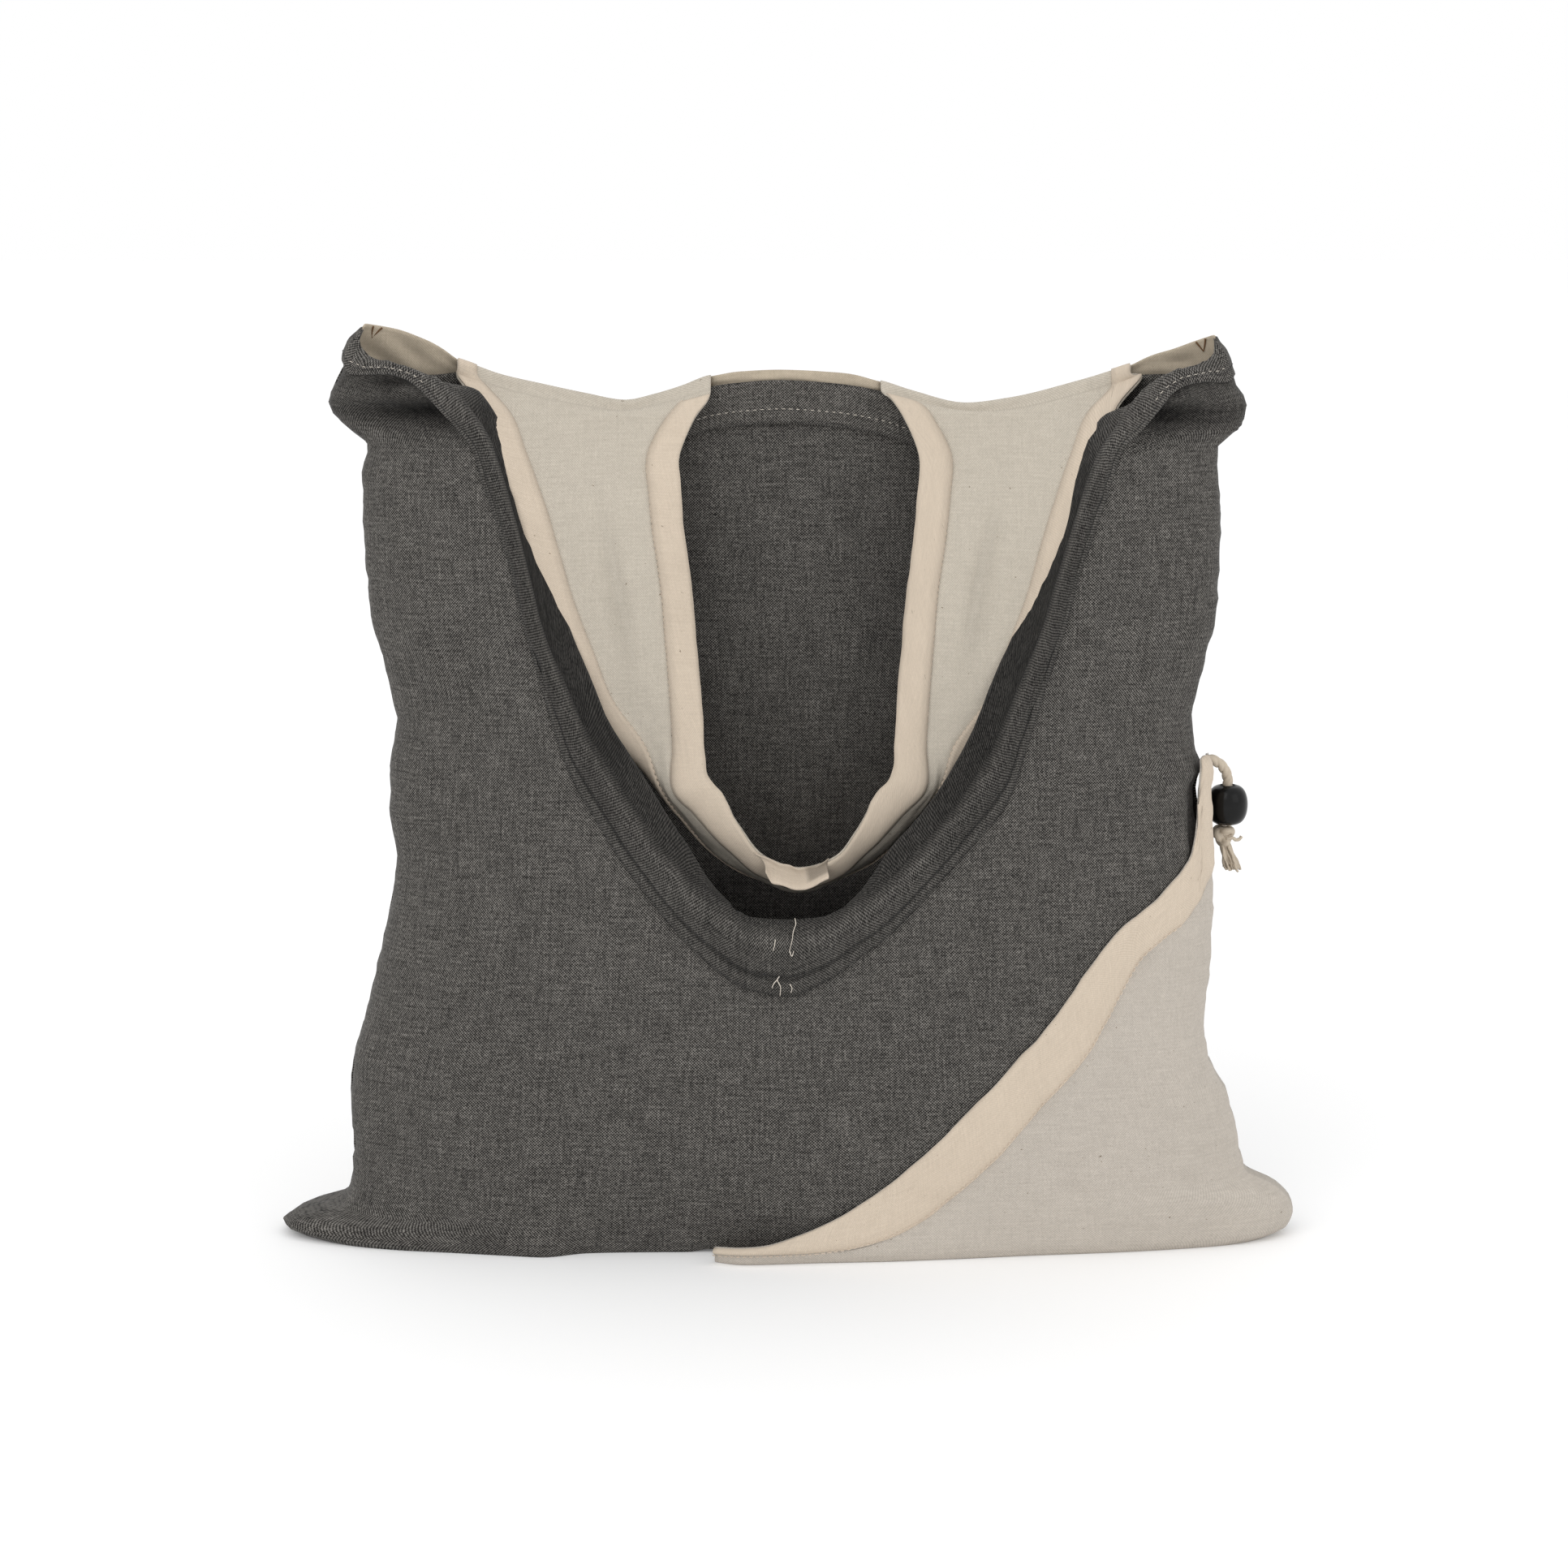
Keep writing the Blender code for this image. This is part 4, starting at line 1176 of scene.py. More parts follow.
def creaseShade(grid, across):
    # Painted shade in the deep pleats under the tips, and a painted shadow on the panel just below the mouth
    # hem away from the tips.
    share = grid[..., 2] / sideHeight + 0.003 * np.sign(across)[:, None]
    deep = sum(dark * np.exp(-(((share - up) / wide) ** 2)) for up, wide, dark in folds["valleys"])
    reach = np.abs(across)
    tips = (smoothStep(0.52, 0.70, reach) * (1 - 0.5 * smoothStep(0.84, 1.0, reach)))[:, None]
    below = heightOf(mouthLine, "hemLine", across)[:, None] - grid[..., 2]
    underHem = np.exp(-((below / 0.0028) ** 2)) * (below > -0.0002)
    return -folds["valleyShade"] * np.minimum(deep, 1) * tips - folds["hemShadow"] * underHem * (1 - tips)


frontPiece = clothPiece(
    "frontPanel",
    [(frontGrid, panelFlat(frontGrid, hemAcross, 1.0), creaseShade(frontGrid, hemAcross))],
    bag["darkCloth"],
    -1,
    darkLook,
)
declared(frontPiece, "dark_cotton", "front_panel")

hemFirst = frontGrid.shape[1] - panels["hemRows"] - panels["rollRows"] - 1
hemGrid = frontGrid[:, hemFirst:]
hemV = np.concatenate([np.linspace(0, 1, panels["hemRows"] + 1), np.linspace(1.04, 1.3, panels["rollRows"])])
lifts = np.stack([hemLift(v, hemAcross, hemGrid[:, k, 2]) for k, v in enumerate(hemV)], axis=1)
hemSurface = hemGrid + frontNormals[:, hemFirst:] * lifts[..., None]
groove = np.abs(hemV - panels["groove"])
hemTip = smoothStep(0.70, 0.80, np.abs(hemAcross))[:, None]
# Painted shade in the stitch groove, along the hem's lower edge, towards the rim and on its roll, and on the
# steep sides of the U; a painted highlight on a ridge between groove and rim. The whole hem is also darker
# than the panel.
hemShade = np.where(groove < 0.05, -0.28, np.where(hemV < panels["groove"], 0.04, 0.02))
hemShade = hemShade - 0.22 * (hemV < 0.03) - 0.33
hemShade = hemShade + 0.30 * np.exp(-(((hemV - 0.70) / 0.05) ** 2)) - 0.30 * smoothStep(0.78, 1.0, hemV)
steep = smoothStep(0.30, 0.48, np.abs(hemAcross)) * (1 - smoothStep(0.68, 0.80, np.abs(hemAcross)))
hemBand = hemShade[None, :] * (1 - hemTip) - 0.02 * hemTip - 0.13 * steep[:, None] * (hemV > panels["groove"])
hemAlong = lengthsAlong(hemGrid[:, 0])
hemTall = np.linalg.norm(hemGrid[:, panels["hemRows"]] - hemGrid[:, 0], axis=-1)
hemFlat = np.stack([hemTall[:, None] * hemV, np.broadcast_to(hemAlong[:, None], lifts.shape)], axis=-1)
hemPiece = clothPiece("mouthHem", [(hemSurface, hemFlat, hemBand)], bag["darkCloth"] * 0.8, 1, darkLook)
declared(hemPiece, "dark_cotton", "mouth_hem")

backAcross = acrossPlaces(panels["backColumns"])
seamLine = heightOf(backTop, "seam", backAcross)
backHeights = [seamLine * (0.35 * t**1.8 + 0.65 * t) for t in np.linspace(0, 1, panels["backRows"])]
backGrid = seamed(bodyGrid(backAcross, backHeights, 1), 1)[::-1]
backEnds = np.concatenate([[1.01], backAcross[::-1], [-1.01]])
backFlat = panelFlat(backGrid, backEnds)
backPiece = clothPiece("backPanel", [(backGrid, backFlat, 0.0)], bag["darkCloth"], -1, darkLook)
declared(backPiece, "dark_cotton", "back_panel")
print("stage: panels")

riserInset = bag["darkCloth"] + bag["layerGap"]
hemTopInset = riserInset + bag["lightCloth"] + bag["layerGap"]


def backHemGrid():
    across = np.linspace(-0.985, 0.985, 150)
    seam = heightOf(backTop, "seam", across)
    rows = []
    for k in range(10):
        v = k / 9
        height = seam - bag["backHemWidth"] * (1 - v) + 0.0008
        lumps = 1 + 0.5 * softNoise(across * halfLength, v * 0.004, 0.009, 51.0)
        puff = 0.0009 * math.sin(math.pi * v) ** 0.6 * lumps
        rows.append(bodyPoint(across, height, 1, inset=hemTopInset + bag["darkCloth"] * 0.5 + puff))
    return np.stack(rows, axis=1)


backHem = backHemGrid()
backHemPiece = clothPiece(
    "backHem", [(backHem, clothCoordinates(backHem)[..., ::-1], 0.02)], bag["darkCloth"] * 0.8, 1, darkLook
)
declared(backHemPiece, "dark_cotton", "back_hem")

handleLook = {
    "hemStrips": 8,
    "middleStrips": 26,
    "legSteps": 7,              # rows between two rows of the leg table
    "softness": 0.0011,         # depth of the slow waves in the legs
    "crease": 0.0022,           # depth of the long soft creases
    "edgeWave": 0.0007,         # waviness of the hemmed edges
    "innerStart": 0.026,        # where the inner hem starts along the loop
    "foldHemFactor": 0.55,      # the hem is narrower than its share where the loop starts
    "riserEnd": -0.0012,        # how far forward the riser's two ends reach, to the mouth hem
    "peakRow": 21,              # row of the loop at the top of the fold
}


def legPlaces(hemShare):
    # Places across a leg from the outer edge: hem, middle, hem.
    hem = np.linspace(0, hemShare, handleLook["hemStrips"])
    middle = np.linspace(hemShare, 1 - hemShare, handleLook["middleStrips"])[1:-1]
    return np.concatenate([hem, middle, 1 - hem[::-1]])


def foldRows(start, end):
    # Riser and fold of one leg over the back, as control rows.
    places = legPlaces(handleLook["foldHemFactor"] * bag["legHemShare"])
    across = start + places * (end - start)
    seam = heightOf(backTop, "seam", across)
    upper = heightOf(backTop, "upper", across)
    radius = bag["creaseRadius"]
    top = np.maximum(upper - radius, seam + 0.0018)
    rows = [
        bodyPoint(across, seam - bag["backHemWidth"] / 2, 1, inset=riserInset),
        bodyPoint(across, seam + 0.001, 1, inset=riserInset),
        bodyPoint(across, top, 1, inset=riserInset),
    ]
    for angle in (45, 90, 135, 180):
        turn = math.radians(angle)
        row = rows[2].copy()
        row[:, 1] += radius * (math.cos(turn) - 1)
        row[:, 2] += radius * math.sin(turn)
        rows.append(row)
    return rows


def legRow(row, side):
    ends = []
    for part in ("outer", "middle", "inner"):
        ends.append(
            np.array(
                [
                    bag["handleCentre"] + side * legRows[part + "Out"][row] * halfLength,
                    legRows[part + "Back"][row] * baseDepth,
                    legRows[part + "Up"][row] * sideHeight,
                ]
            )
        )
    outer, middle, inner = ends
    width = np.linalg.norm(outer - middle) + np.linalg.norm(middle - inner)
    turn = np.linalg.norm(outer - middle) / width
    u = legPlaces(min(bag["handleHem"] / width, 0.40))[:, None]
    return (
        outer * (u - turn) * (u - 1) / turn
        + middle * u * (u - 1) / (turn * (turn - 1))
        + inner * u * (u - turn) / (1 - turn)
    )


def smoothPath(rows, steps):
    # A smooth surface through control rows, with the given steps between them.
    rows = np.array(rows)
    gaps = np.linalg.norm(np.diff(rows, axis=0), axis=-1).mean(axis=1)
    slopes = np.diff(rows, axis=0) / gaps[:, None, None]
    tangents = np.empty_like(rows)
    tangents[0], tangents[-1] = slopes[0], slopes[-1]
    before, after = gaps[:-1, None, None], gaps[1:, None, None]
    tangents[1:-1] = (slopes[:-1] * after + slopes[1:] * before) / (before + after)
    made = [rows[0]]
    for i, gap in enumerate(gaps):
        for k in range(1, steps[i] + 1):
            made.append(hermite(k / steps[i], gap, rows[i], tangents[i], rows[i + 1], tangents[i + 1]))
    return np.array(made)


legCount = len(legRows["outerOut"])
leftControls = foldRows(bag["legStart"][0], bag["legEnd"][0]) + [legRow(r, -1) for r in range(legCount)]
rightControls = foldRows(bag["legStart"][1], bag["legEnd"][1]) + [legRow(r, 1) for r in range(legCount)]
controls = leftControls + rightControls[::-1][1:]
foldTop = 12                    # row of the loop just before the top of the fold
oneSide = [3, 3, 3, 3, 3, 3, 6] + [handleLook["legSteps"]] * (legCount - 1)
loop = smoothPath(controls, oneSide + oneSide[::-1])
loop = loop.transpose(1, 0, 2)
along = clothCoordinates(loop)[loop.shape[0] // 2, :, 1]
fromEnds = np.minimum(along, along[-1] - along)
strips = loop.shape[0]
hemStrips = handleLook["hemStrips"]
u = np.linspace(0, 1, strips)[:, None]
free = smoothStep(0.020, 0.050, fromEnds)[None, :]
loopNormals = gridNormals(loop)
wave = handleLook["softness"] * softNoise(u * 0.07, along[None, :], 0.034, 5.0)
wave = wave + 0.4 * handleLook["softness"] * softNoise(u * 0.07, along[None, :], 0.014, 9.0)
sag = (smoothStep(0.05, 0.10, fromEnds) * (1 - smoothStep(0.105, 0.150, fromEnds)))[None, :]
centreLine = 0.52 + 0.06 * softNoise(along[None, :], 0.0, 0.08, 2.0)
crease = np.exp(-(((u - centreLine) / 0.055) ** 2)) - 0.7 * np.exp(-(((u - centreLine + 0.16) / 0.07) ** 2))
loop = loop + loopNormals * ((wave * free - handleLook["crease"] * crease * sag))[..., None]
sideways = np.gradient(loop, axis=0)
sideways = sideways / np.maximum(np.linalg.norm(sideways, axis=-1, keepdims=True), 1e-9)
outerShare = np.clip(1 - np.arange(strips) / (hemStrips - 1), 0, 1)[:, None]
innerShare = outerShare[::-1]
ripple = softNoise(along[None, :], 0.0, 0.0105, 13.0) + 0.5 * softNoise(along[None, :], 0.3, 0.0045, 14.0)
rippleInner = softNoise(along[None, :], 0.6, 0.0105, 15.0)
shift = handleLook["edgeWave"] * free * (outerShare * ripple - innerShare * 0.8 * rippleInner)
loop = loop + sideways * shift[..., None]
loopNormals = gridNormals(loop)
loopFlat = clothCoordinates(loop)
peak = np.max(loop[..., 2], axis=1, keepdims=True)
half = loop.shape[1] // 2
order = np.arange(loop.shape[1])[None, :]
fromFirst = np.where(order < half, order, loop.shape[1] - 1 - order)
upright = np.where(fromFirst < handleLook["peakRow"], 2 * peak - loop[..., 2], loop[..., 2])
uprightFlat = np.stack([loop[..., 0], upright], axis=-1)


def tipRiser(first, last, blendAt):
    # Riser cloth between a tip and a leg, or between the two legs.
    across = np.linspace(first, last, 40)
    seam = heightOf(backTop, "seam", across)
    upper = heightOf(backTop, "upper", across)
    near = np.max([smoothStep(0.07, 0.0, np.abs(across - place)) for place in blendAt], axis=0)
    top = upper - 0.25 * bag["creaseRadius"] * near
    rows = []
    for k in range(21):
        v = k / 20
        height = (seam - bag["backHemWidth"] / 2) * (1 - v) + top * v
        rise = v * 0.026 + across * halfLength * 0.12
        lumps = softNoise(across * halfLength * 0.35, rise, 0.0060, 61.0)
        lean = 0.0016 * math.sin(math.pi * min(1.0, v * 0.9)) * lumps
        rows.append(bodyPoint(across, height, 1, inset=riserInset + lean, rough=False))
    return np.stack(rows, axis=1)


leftRiser = seamed(tipRiser(-1.0, bag["legStart"][0], [bag["legStart"][0]]), 1, True, False)
rightRiser = seamed(tipRiser(bag["legStart"][1], 1.0, [bag["legStart"][1]]), 1, False, True)
leftRiser[0, :, 1] = rightRiser[-1, :, 1] = handleLook["riserEnd"]
middleRiser = tipRiser(bag["legEnd"][0], bag["legEnd"][1], bag["legEnd"])
# The loop's band is painted shade along the long soft creases low in the legs.
handlePiece = clothPiece(
    "handleLoop",
    [(loop, uprightFlat, -0.10 * np.clip(crease, 0, 1) * sag)],
    bag["lightCloth"],
    1,
    naturalLook,
)
declared(handlePiece, "natural_cotton", "handle")
riserPiece = clothPiece(
    "handleRiser",
    [(grid, clothCoordinates(grid), 0.0) for grid in (leftRiser, rightRiser, middleRiser)],
    bag["lightCloth"],
    1,
    shadedRiserLook,
)
declared(riserPiece, "natural_cotton")


def legHem(name, outer, nodeName):
    # A turned hem along one edge of the loop, from below the fold on one side to the other.
    chosen = slice(0, hemStrips) if outer else slice(strips - hemStrips, strips)
    rows = fromEnds > (fromEnds[foldTop] if outer else handleLook["innerStart"])
    grid, normals, flat = loop[chosen][:, rows], loopNormals[chosen][:, rows], loopFlat[chosen][:, rows]
    t = np.linspace(0, 1, hemStrips)[:, None]
    t = 1 - t if outer else t
    reach = along[rows][None, :]
    pucker = 1 + 0.4 * softNoise(t * 0.004, reach, 0.010, 23.0 if outer else 29.0)
    fromStart = fromEnds[rows][None, :] - fromEnds[rows].min()
    grown = 0.25 + 0.75 * smoothStep(0.0, 0.004 if outer else 0.012, fromStart)
    lift = bag["layerGap"] * 0.3 + 0.00075 * np.sin(math.pi * np.clip(t * 0.94 + 0.03, 0, 1)) ** 0.5 * pucker
    # Painted shade on the hem's strip next to the leg's middle, where the hem's edge meets the leg.
    band = np.where(t < 0.16, -0.10, 0.0) * np.ones_like(lift)
    surface = grid - normals * (lift * grown)[..., None]
    made = clothPiece(name, [(surface, flat, band)], bag["lightCloth"] * 0.6, -1, hemLook)
    return declared(made, "hem_cotton", nodeName)


outerHemPiece = legHem("handleOuterHem", True, "handle_outer_hem")
innerHemPiece = legHem("handleInnerHem", False, "handle_inner_hem")

# The loop's lowest point is pinched: the hem turns out there in a small scoop.
# Each line runs from left to right: the hole's edge, the hollow and the lip.
pinch = {
    "edge": [
        (-0.0140, 0.1664), (-0.0064, 0.1634), (0.0000, 0.1612), (0.0044, 0.1600),
        (0.0094, 0.1604), (0.0148, 0.1622), (0.0172, 0.1640),
    ],
    "hollow": [
        (-0.0098, 0.1626), (-0.0046, 0.1592), (0.0004, 0.1572), (0.0050, 0.1562),
        (0.0094, 0.1572), (0.0138, 0.1592), (0.0166, 0.1606),
    ],
    "lip": [
        (-0.0088, 0.1596), (-0.0064, 0.1556), (-0.0014, 0.1544), (0.0050, 0.1524),
        (0.0096, 0.1532), (0.0136, 0.1556), (0.0174, 0.1576),
    ],
    "edgeBack": -0.0150,
    "hollowBack": -0.0146,
    "lipBack": -0.0186,
    "steps": 33,
    # Painted highlight on the lip and painted shade in the hollow, one value per row from behind the lip to
    # the hole's edge.
    "shade": (0.0, 0.05, 0.12, 0.10, 0.00, -0.08, -0.12, -0.13, -0.13, -0.10, -0.06, 0.02),
}


def scoop(settings):
    lines = []
    for key in ("edge", "hollow", "lip"):
        points = np.array([(x, settings[key + "Back"], z) for x, z in settings[key]])
        lines.append(smoothRoute(points, settings["steps"]))
    edge, hollow, lip = lines
    rows = []
    for t in np.linspace(0, 1, 9):
        rows.append(edge * (1 - t) * (1 - 2 * t) + hollow * 4 * t * (1 - t) + lip * t * (2 * t - 1))
    rows.append(lip + np.array((0, -0.0005, -0.0009)))
    rows.append(lip + np.array((0, 0.0012, -0.0012)))
    rows.append(lip + np.array((0, 0.0060, -0.0002)))
    grid = np.stack(rows[::-1], axis=1)
    t = np.linspace(0, 1, settings["steps"])[:, None]
    deep = np.linspace(0, 0.008, grid.shape[1])[None, :]
    return grid + 0.0004 * softNoise(t * 0.03, deep, 0.004, 81.0)[..., None]


scoopGrid = scoop(pinch)
# Painted shade: the hollow is darker still in its right part, where it folds.
scoopShade = np.broadcast_to(np.array(pinch["shade"]), scoopGrid.shape[:2])
fold = smoothStep(0.64, 0.72, np.linspace(0, 1, pinch["steps"]))[:, None] * (np.arange(12) > 4)[None, :]
scoopPiece = clothPiece(
    "loopPinch",
    [(scoopGrid, clothCoordinates(scoopGrid), scoopShade - 0.40 * fold)],
    bag["lightCloth"] * 0.6,
    -1,
    hemLook,
)
declared(scoopPiece, "hem_cotton")


def tipTack(side):
    # Two short brown stitches in a V that hold the riser at a tip.
    lines = []
    for first in (-0.012, 0.012):
        line = []
        for step in range(6):
            t = step / 5
            across = side * (0.966 + first * (1 - t))
            height = heightOf(backTop, "upper", abs(across) * side) - 0.0006 - 0.0046 * t
            under = riserInset + bag["lightCloth"] + 0.0002
            line.append(bodyPoint(across, height, 1, inset=under, rough=False))
        lines.append(np.array(line))
    return lines


print("stage: handle")

pouchLooks = {
    "columns": 150,
    "rows": 70,
    "channelRows": 16,
    "channelPuff": 0.0012,
}


def pouchGrid():
    t = np.linspace(0, 1, pouchLooks["columns"])
    across = bag["pouchStart"] + (1 - bag["pouchStart"]) * (1 - (1 - t) ** 1.4)
    edge = heightOf(pouchLines, "edge", across)
    line = heightOf(pouchLines, "channelLine", across)
    heights, puffs = [], []
    for t in np.linspace(0, 1, pouchLooks["rows"]):
        heights.append(line * (0.3 * t**1.6 + 0.7 * t))
        puffs.append(np.zeros(across.shape))
    flatEnd = 1 - smoothStep(0.93, 0.97, across)
    for k in range(1, pouchLooks["channelRows"] + 1):
        v = k / pouchLooks["channelRows"]
        heights.append(line + (edge - line) * v)
        puffs.append(pouchLooks["channelPuff"] * math.sin(math.pi * v**0.8) ** 0.7 * flatEnd)
    grid = bodyGrid(across, heights, -1, True)
    lift = np.concatenate([np.zeros((10, len(across))), np.array(puffs)]).T
    return across, seamed(grid, -1, False, True), np.concatenate([lift, lift[-1:]])


pouchAcross, pouchBase, pouchPuff = pouchGrid()
pouchNormals = gridNormals(pouchBase)
pouchSurface = pouchBase + pouchNormals * (bag["layerGap"] + pouchPuff)[..., None]
pouchEnds = np.concatenate([pouchAcross, [1.01]])
pouchFlat = panelFlat(pouchSurface, pouchEnds)
pouchShade = -0.16 * (pouchEnds > 0.9985)[:, None]
pouchPatches = [(pouchSurface, pouchFlat, pouchShade)]
pouchPiece = clothPiece("pouchCloth", pouchPatches, bag["lightCloth"], 1, pouchLook)
declared(pouchPiece, "pouch_cotton", "pouch")

channelFirst = pouchBase.shape[1] - pouchLooks["channelRows"] - 1
channelV = np.linspace(0, 1, pouchLooks["channelRows"] + 1)[None, :]
channelEdge = smoothStep(0.0, 0.25, channelV)
channelRise = channelEdge + (1 - channelEdge) * smoothStep(0.94, 0.97, pouchEnds)[:, None]
channelLift = bag["lightCloth"] * (0.62 + 0.55 * channelRise) + 0.0003 * np.sin(math.pi * channelV) ** 0.5
channelGrid = pouchSurface[:, channelFirst:] + pouchNormals[:, channelFirst:] * channelLift[..., None]
channelPiece = clothPiece(
    "pouchHem",
    [(channelGrid, clothCoordinates(channelGrid)[..., ::-1], np.where(channelV > 0.97, -0.05, 0.0))],
    bag["lightCloth"] * 0.35,
    1,
    hemLook,
)
declared(channelPiece, "hem_cotton", "pouch_hem")
print("stage: pouch")


stitching = {
    "hemPitch": 0.0021,         # from one stitch to the next along the mouth
    "handlePitch": 0.0026,
    "length": 0.72,             # stitch length as a share of the pitch
    "thickness": 0.00042,
    "seed": 4,
}


def stitchTree(name):
    # Repeats a small thread along the lines of a mesh. Each copy is turned along its line.
    tree = bpy.data.node_groups.new(name, "GeometryNodeTree")
    tree.interface.new_socket("Geometry", in_out="INPUT", socket_type="NodeSocketGeometry")
    for label, kind in (
        ("Spacing", "NodeSocketFloat"),
        ("Length", "NodeSocketFloat"),
        ("Thickness", "NodeSocketFloat"),
        ("Tilt", "NodeSocketFloat"),
        ("Seed", "NodeSocketInt"),
        ("Thread", "NodeSocketMaterial"),
    ):
        tree.interface.new_socket(label, in_out="INPUT", socket_type=kind)
    tree.interface.new_socket("Geometry", in_out="OUTPUT", socket_type="NodeSocketGeometry")

    def add(kind, settings=None, values=None):
        node = tree.nodes.new(kind)
        for key, setting in (settings or {}).items():
            setattr(node, key, setting)
        for key, value in (values or {}).items():
            if isinstance(value, bpy.types.NodeSocket):
                tree.links.new(value, node.inputs[key])
            else:
                node.inputs[key].default_value = value
        return node

    def randomPair(low, high, seedShift):
        shifted = add("ShaderNodeMath", {"operation": "ADD"}, {0: start.outputs["Seed"], 1: seedShift})
        values = {2: low, 3: high, "Seed": shifted.outputs[0]}
        return add("FunctionNodeRandomValue", {"data_type": "FLOAT"}, values).outputs[1]

    def product(first, second):
        return add("ShaderNodeMath", {"operation": "MULTIPLY"}, {0: first, 1: second}).outputs[0]

    start = add("NodeGroupInput")
    line = add("GeometryNodeMeshToCurve", None, {"Mesh": start.outputs["Geometry"]})
    spaced = add(
        "GeometryNodeResampleCurve",
        {"mode": "LENGTH"},
        {"Curve": line.outputs["Curve"], "Length": start.outputs["Spacing"]},
    )
    places = add("GeometryNodeCurveToPoints", {"mode": "EVALUATED"}, {"Curve": spaced.outputs["Curve"]})
    bead = add("GeometryNodeMeshIcoSphere", None, {"Radius": 0.5, "Subdivisions": 2})
    soft = add("GeometryNodeSetShadeSmooth", None, {"Geometry": bead.outputs["Mesh"]})
    turned = add("FunctionNodeAlignRotationToVector", {"axis": "Z"}, {"Vector": places.outputs["Tangent"]})
    nudge = add("ShaderNodeCombineXYZ", None, {"X": randomPair(-0.12, 0.12, 1), "Y": start.outputs["Tilt"]})
    spin = add(
        "FunctionNodeRotateRotation",
        {"rotation_space": "LOCAL"},
        {"Rotation": turned.outputs["Rotation"]},
    )
    asRotation = add("FunctionNodeEulerToRotation", None, {"Euler": nudge.outputs["Vector"]})
    tree.links.new(asRotation.outputs["Rotation"], spin.inputs["Rotate By"])
    stretch = product(start.outputs["Length"], randomPair(0.85, 1.12, 2))
    girth = product(start.outputs["Thickness"], randomPair(0.85, 1.15, 3))
    size = add("ShaderNodeCombineXYZ", None, {"X": girth, "Y": girth, "Z": stretch})
    copies = add(
        "GeometryNodeInstanceOnPoints",
        None,
        {
            "Points": places.outputs["Points"],
            "Instance": soft.outputs["Geometry"],
            "Rotation": spin.outputs["Rotation"],
            "Scale": size.outputs["Vector"],
        },
    )
    real = add("GeometryNodeRealizeInstances", None, {"Geometry": copies.outputs["Instances"]})
    dressed = add(
        "GeometryNodeSetMaterial",
        None,
        {"Geometry": real.outputs["Geometry"], "Material": start.outputs["Thread"]},
    )
    add("NodeGroupOutput", None, {"Geometry": dressed.outputs["Geometry"]})
    return tree


stitchNodes = stitchTree("threadLine")


def stitchLine(name, lines, look, pitch, thickness=None, length=None, tilt=0.0):
    # Stitches along one or more polylines, as one finished mesh.
    points, edges = [], []
    for line in lines:
        first = len(points)
        points += [tuple(float(c) for c in p) for p in line]
        edges += [(first + i, first + i + 1) for i in range(len(line) - 1)]
    guide = bpy.data.meshes.new(name + "Line")
    guide.from_pydata(points, edges, [])
    holder = linked(name + "Line", guide)
    modifier = holder.modifiers.new("stitches", "NODES")
    modifier.node_group = stitchNodes
    values = {
        "Spacing": pitch,
        "Length": length or pitch * stitching["length"],
        "Thickness": thickness or stitching["thickness"],
        "Tilt": tilt,
        "Seed": stitching["seed"],
        "Thread": look,
    }
    for item in stitchNodes.interface.items_tree:
        if item.item_type == "SOCKET" and item.in_out == "INPUT" and item.name in values:
            modifier[item.identifier] = values[item.name]
    holder.update_tag()
    bpy.context.view_layer.update()
    seen = holder.evaluated_get(bpy.context.evaluated_depsgraph_get())
    mesh = bpy.data.meshes.new_from_object(seen)
    mesh.name = name
    bpy.data.objects.remove(holder, do_unlink=True)
    piece = linked(name, mesh)
    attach(piece, "root")
    return piece


def rowLine(grid, normals, row, lift, part=slice(None)):
    # A line along one row of a grid, raised off its surface.
    return (grid[:, row] + normals[:, row] * lift)[part]


hemNormals = gridNormals(hemSurface)
grooveRow = int(round(panels["groove"] * panels["hemRows"]))
mouthStitches = stitchLine(
    "mouthStitches",
    [rowLine(hemSurface, hemNormals, grooveRow, bag["darkCloth"] * 0.8 + 0.00012)],
    darkThread,
    stitching["hemPitch"],
)
lines = []
for side in (-1, 1):
    chosen = (side * hemAcross > 0.83) & (side * hemAcross <= 0.985)
    lines.append(rowLine(hemSurface, hemNormals, grooveRow + 3, bag["darkCloth"] * 0.8 + 0.0002)[chosen])
tipStitches = stitchLine("tipStitches", lines, paleThread, 0.0032, 0.00026, 0.0017)
backHemNormals = gridNormals(backHem)
backStitches = stitchLine(
    "backHemStitches",
    [rowLine(backHem, backHemNormals, 3, bag["darkCloth"] * 0.8 + 0.00015)],
    paleThread,
    0.0030,
    0.00027,
    0.0016,
)
inward = -loopNormals
outerLine = loop[hemStrips - 1] + inward[hemStrips - 1] * 0.0002
innerLine = loop[strips - hemStrips] + inward[strips - hemStrips] * 0.0002
handleStitches = stitchLine(
    "handleStitches",
    [outerLine[fromEnds > fromEnds[foldTop + 4]], innerLine[fromEnds > handleLook["innerStart"]]],
    hemThread,
    stitching["handlePitch"],
    0.00050,
    0.0021,
)
channelNormals = gridNormals(channelGrid)
pouchStitches = stitchLine(
    "pouchStitches",
    [rowLine(channelGrid, channelNormals, 1, bag["lightCloth"] + 0.0001)[pouchEnds < 0.93]],
    hemThread,
    0.0027,
    0.00042,
    0.0019,
)
print("stage: stitches")


def looseThread(name, lines, thickness, look):
    # Loose ends of thread that lie on the cloth.
    parts = []
    for line in lines:
        path = smoothRoute(line, 18)
        taper = np.linspace(1, 0.6, 18)
        parts.append(ropeMesh("thread", path, thickness / 2, look, 2, 0.0022, 8, taper, 0.12))
    made = joined(name, parts)
    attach(made, "root")
    return made


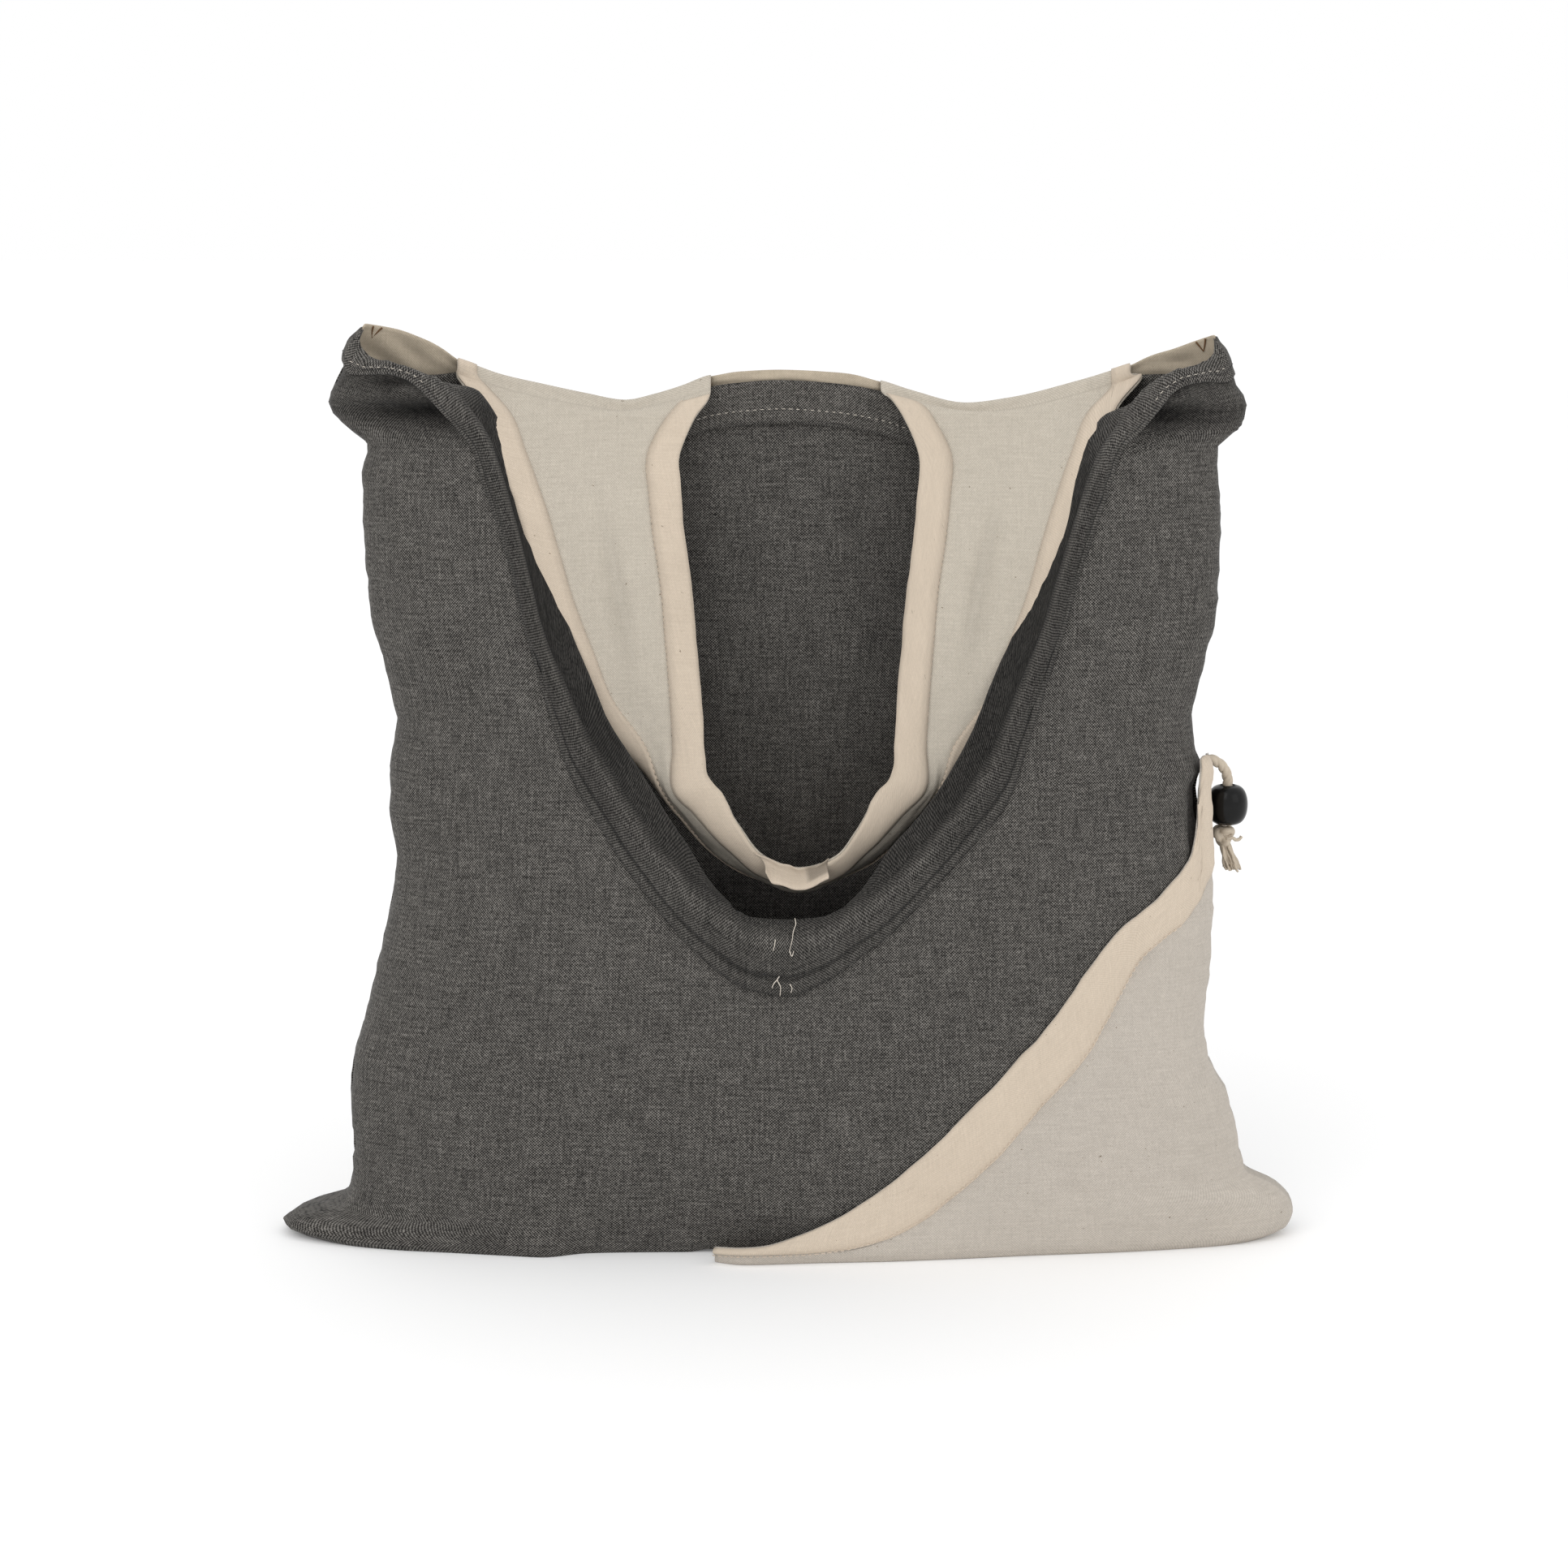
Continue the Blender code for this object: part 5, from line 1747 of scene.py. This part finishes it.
def onHem(across, row, shift=0.0, lift=0.0012):
    # A place on the mouth hem, moved sideways by shift.
    place = int(np.argmin(np.abs(hemAcross - across)))
    return hemSurface[place, row] + hemNormals[place, row] * lift + np.array((shift, 0.0, 0.0))


# Each end is a place across the mouth and points of it: hem row, sideways shift and lift.
threadEnds = [
    (0.020, [(19,), (17, 0.0004), (15, -0.0006), (13, -0.0011), (11, -0.0022)]),
    (0.020, [(11, -0.0022), (10, -0.0012, 0.0019), (11, -0.0004)]),
    (-0.030, [(13, 0.0001), (12, -0.0002), (11, -0.0007)]),
    (-0.023, [(5,), (4, -0.0008), (2, 0.0006), (0, 0.0002)]),
    (-0.023, [(4, -0.0008), (3, -0.0022, 0.0017), (2, -0.0030)]),
    (0.004, [(3,), (2, 0.0009), (1, 0.0004)]),
]
endLines = [[onHem(across, *point) for point in points] for across, points in threadEnds]
tacks = looseThread("tipTacks", tipTack(-1) + tipTack(1), 0.0009, brownThread)
looseThreads = looseThread("looseThreads", endLines, 0.00042, paleThread)

stage = {
    "floorSize": 14.0,
    "floorColour": (0.92, 0.92, 0.92),
    "floorGlow": 0.10,
    "worldStrength": 1.0,
    "aimHeight": 0.18,          # height that both lamps point at
    "keyPower": 13.0,
    "keyPlace": (-1.1, -2.0, 2.1),
    "keySize": 1.8,
    "fillPower": 4.0,
    "fillPlace": (1.8, -1.6, 1.2),
    "fillSize": 1.6,
}


def setStage(settings):
    half = settings["floorSize"] / 2
    mesh = bpy.data.meshes.new("floor")
    corners = [(-half, -half, 0), (half, -half, 0), (half, half, 0), (-half, half, 0)]
    mesh.from_pydata(corners, [], [(0, 1, 2, 3)])
    floor = linked("floor", mesh)
    nodes = Nodes("paleFloor")
    nodes.shader.inputs["Base Color"].default_value = (*settings["floorColour"], 1.0)
    nodes.shader.inputs["Roughness"].default_value = 0.8
    nodes.shader.inputs["Emission Color"].default_value = (1, 1, 1, 1)
    nodes.shader.inputs["Emission Strength"].default_value = settings["floorGlow"]
    nodes.shader.inputs["Specular IOR Level"].default_value = 0.1
    mesh.materials.append(nodes.material)
    world = bpy.data.worlds.new("studio")
    world.use_nodes = True
    world.node_tree.nodes["Background"].inputs["Color"].default_value = (1, 1, 1, 1)
    world.node_tree.nodes["Background"].inputs["Strength"].default_value = settings["worldStrength"]
    bpy.context.scene.world = world
    for name in ("key", "fill"):
        light = bpy.data.lights.new(name, "AREA")
        light.energy = settings[name + "Power"]
        light.size = settings[name + "Size"]
        lamp = linked(name, light)
        lamp.location = settings[name + "Place"]
        aim = Vector((0, 0, settings["aimHeight"])) - Vector(settings[name + "Place"])
        lamp.rotation_euler = aim.to_track_quat("-Z", "Y").to_euler()
    bpy.context.scene.view_settings.view_transform = "Standard"


setStage(stage)
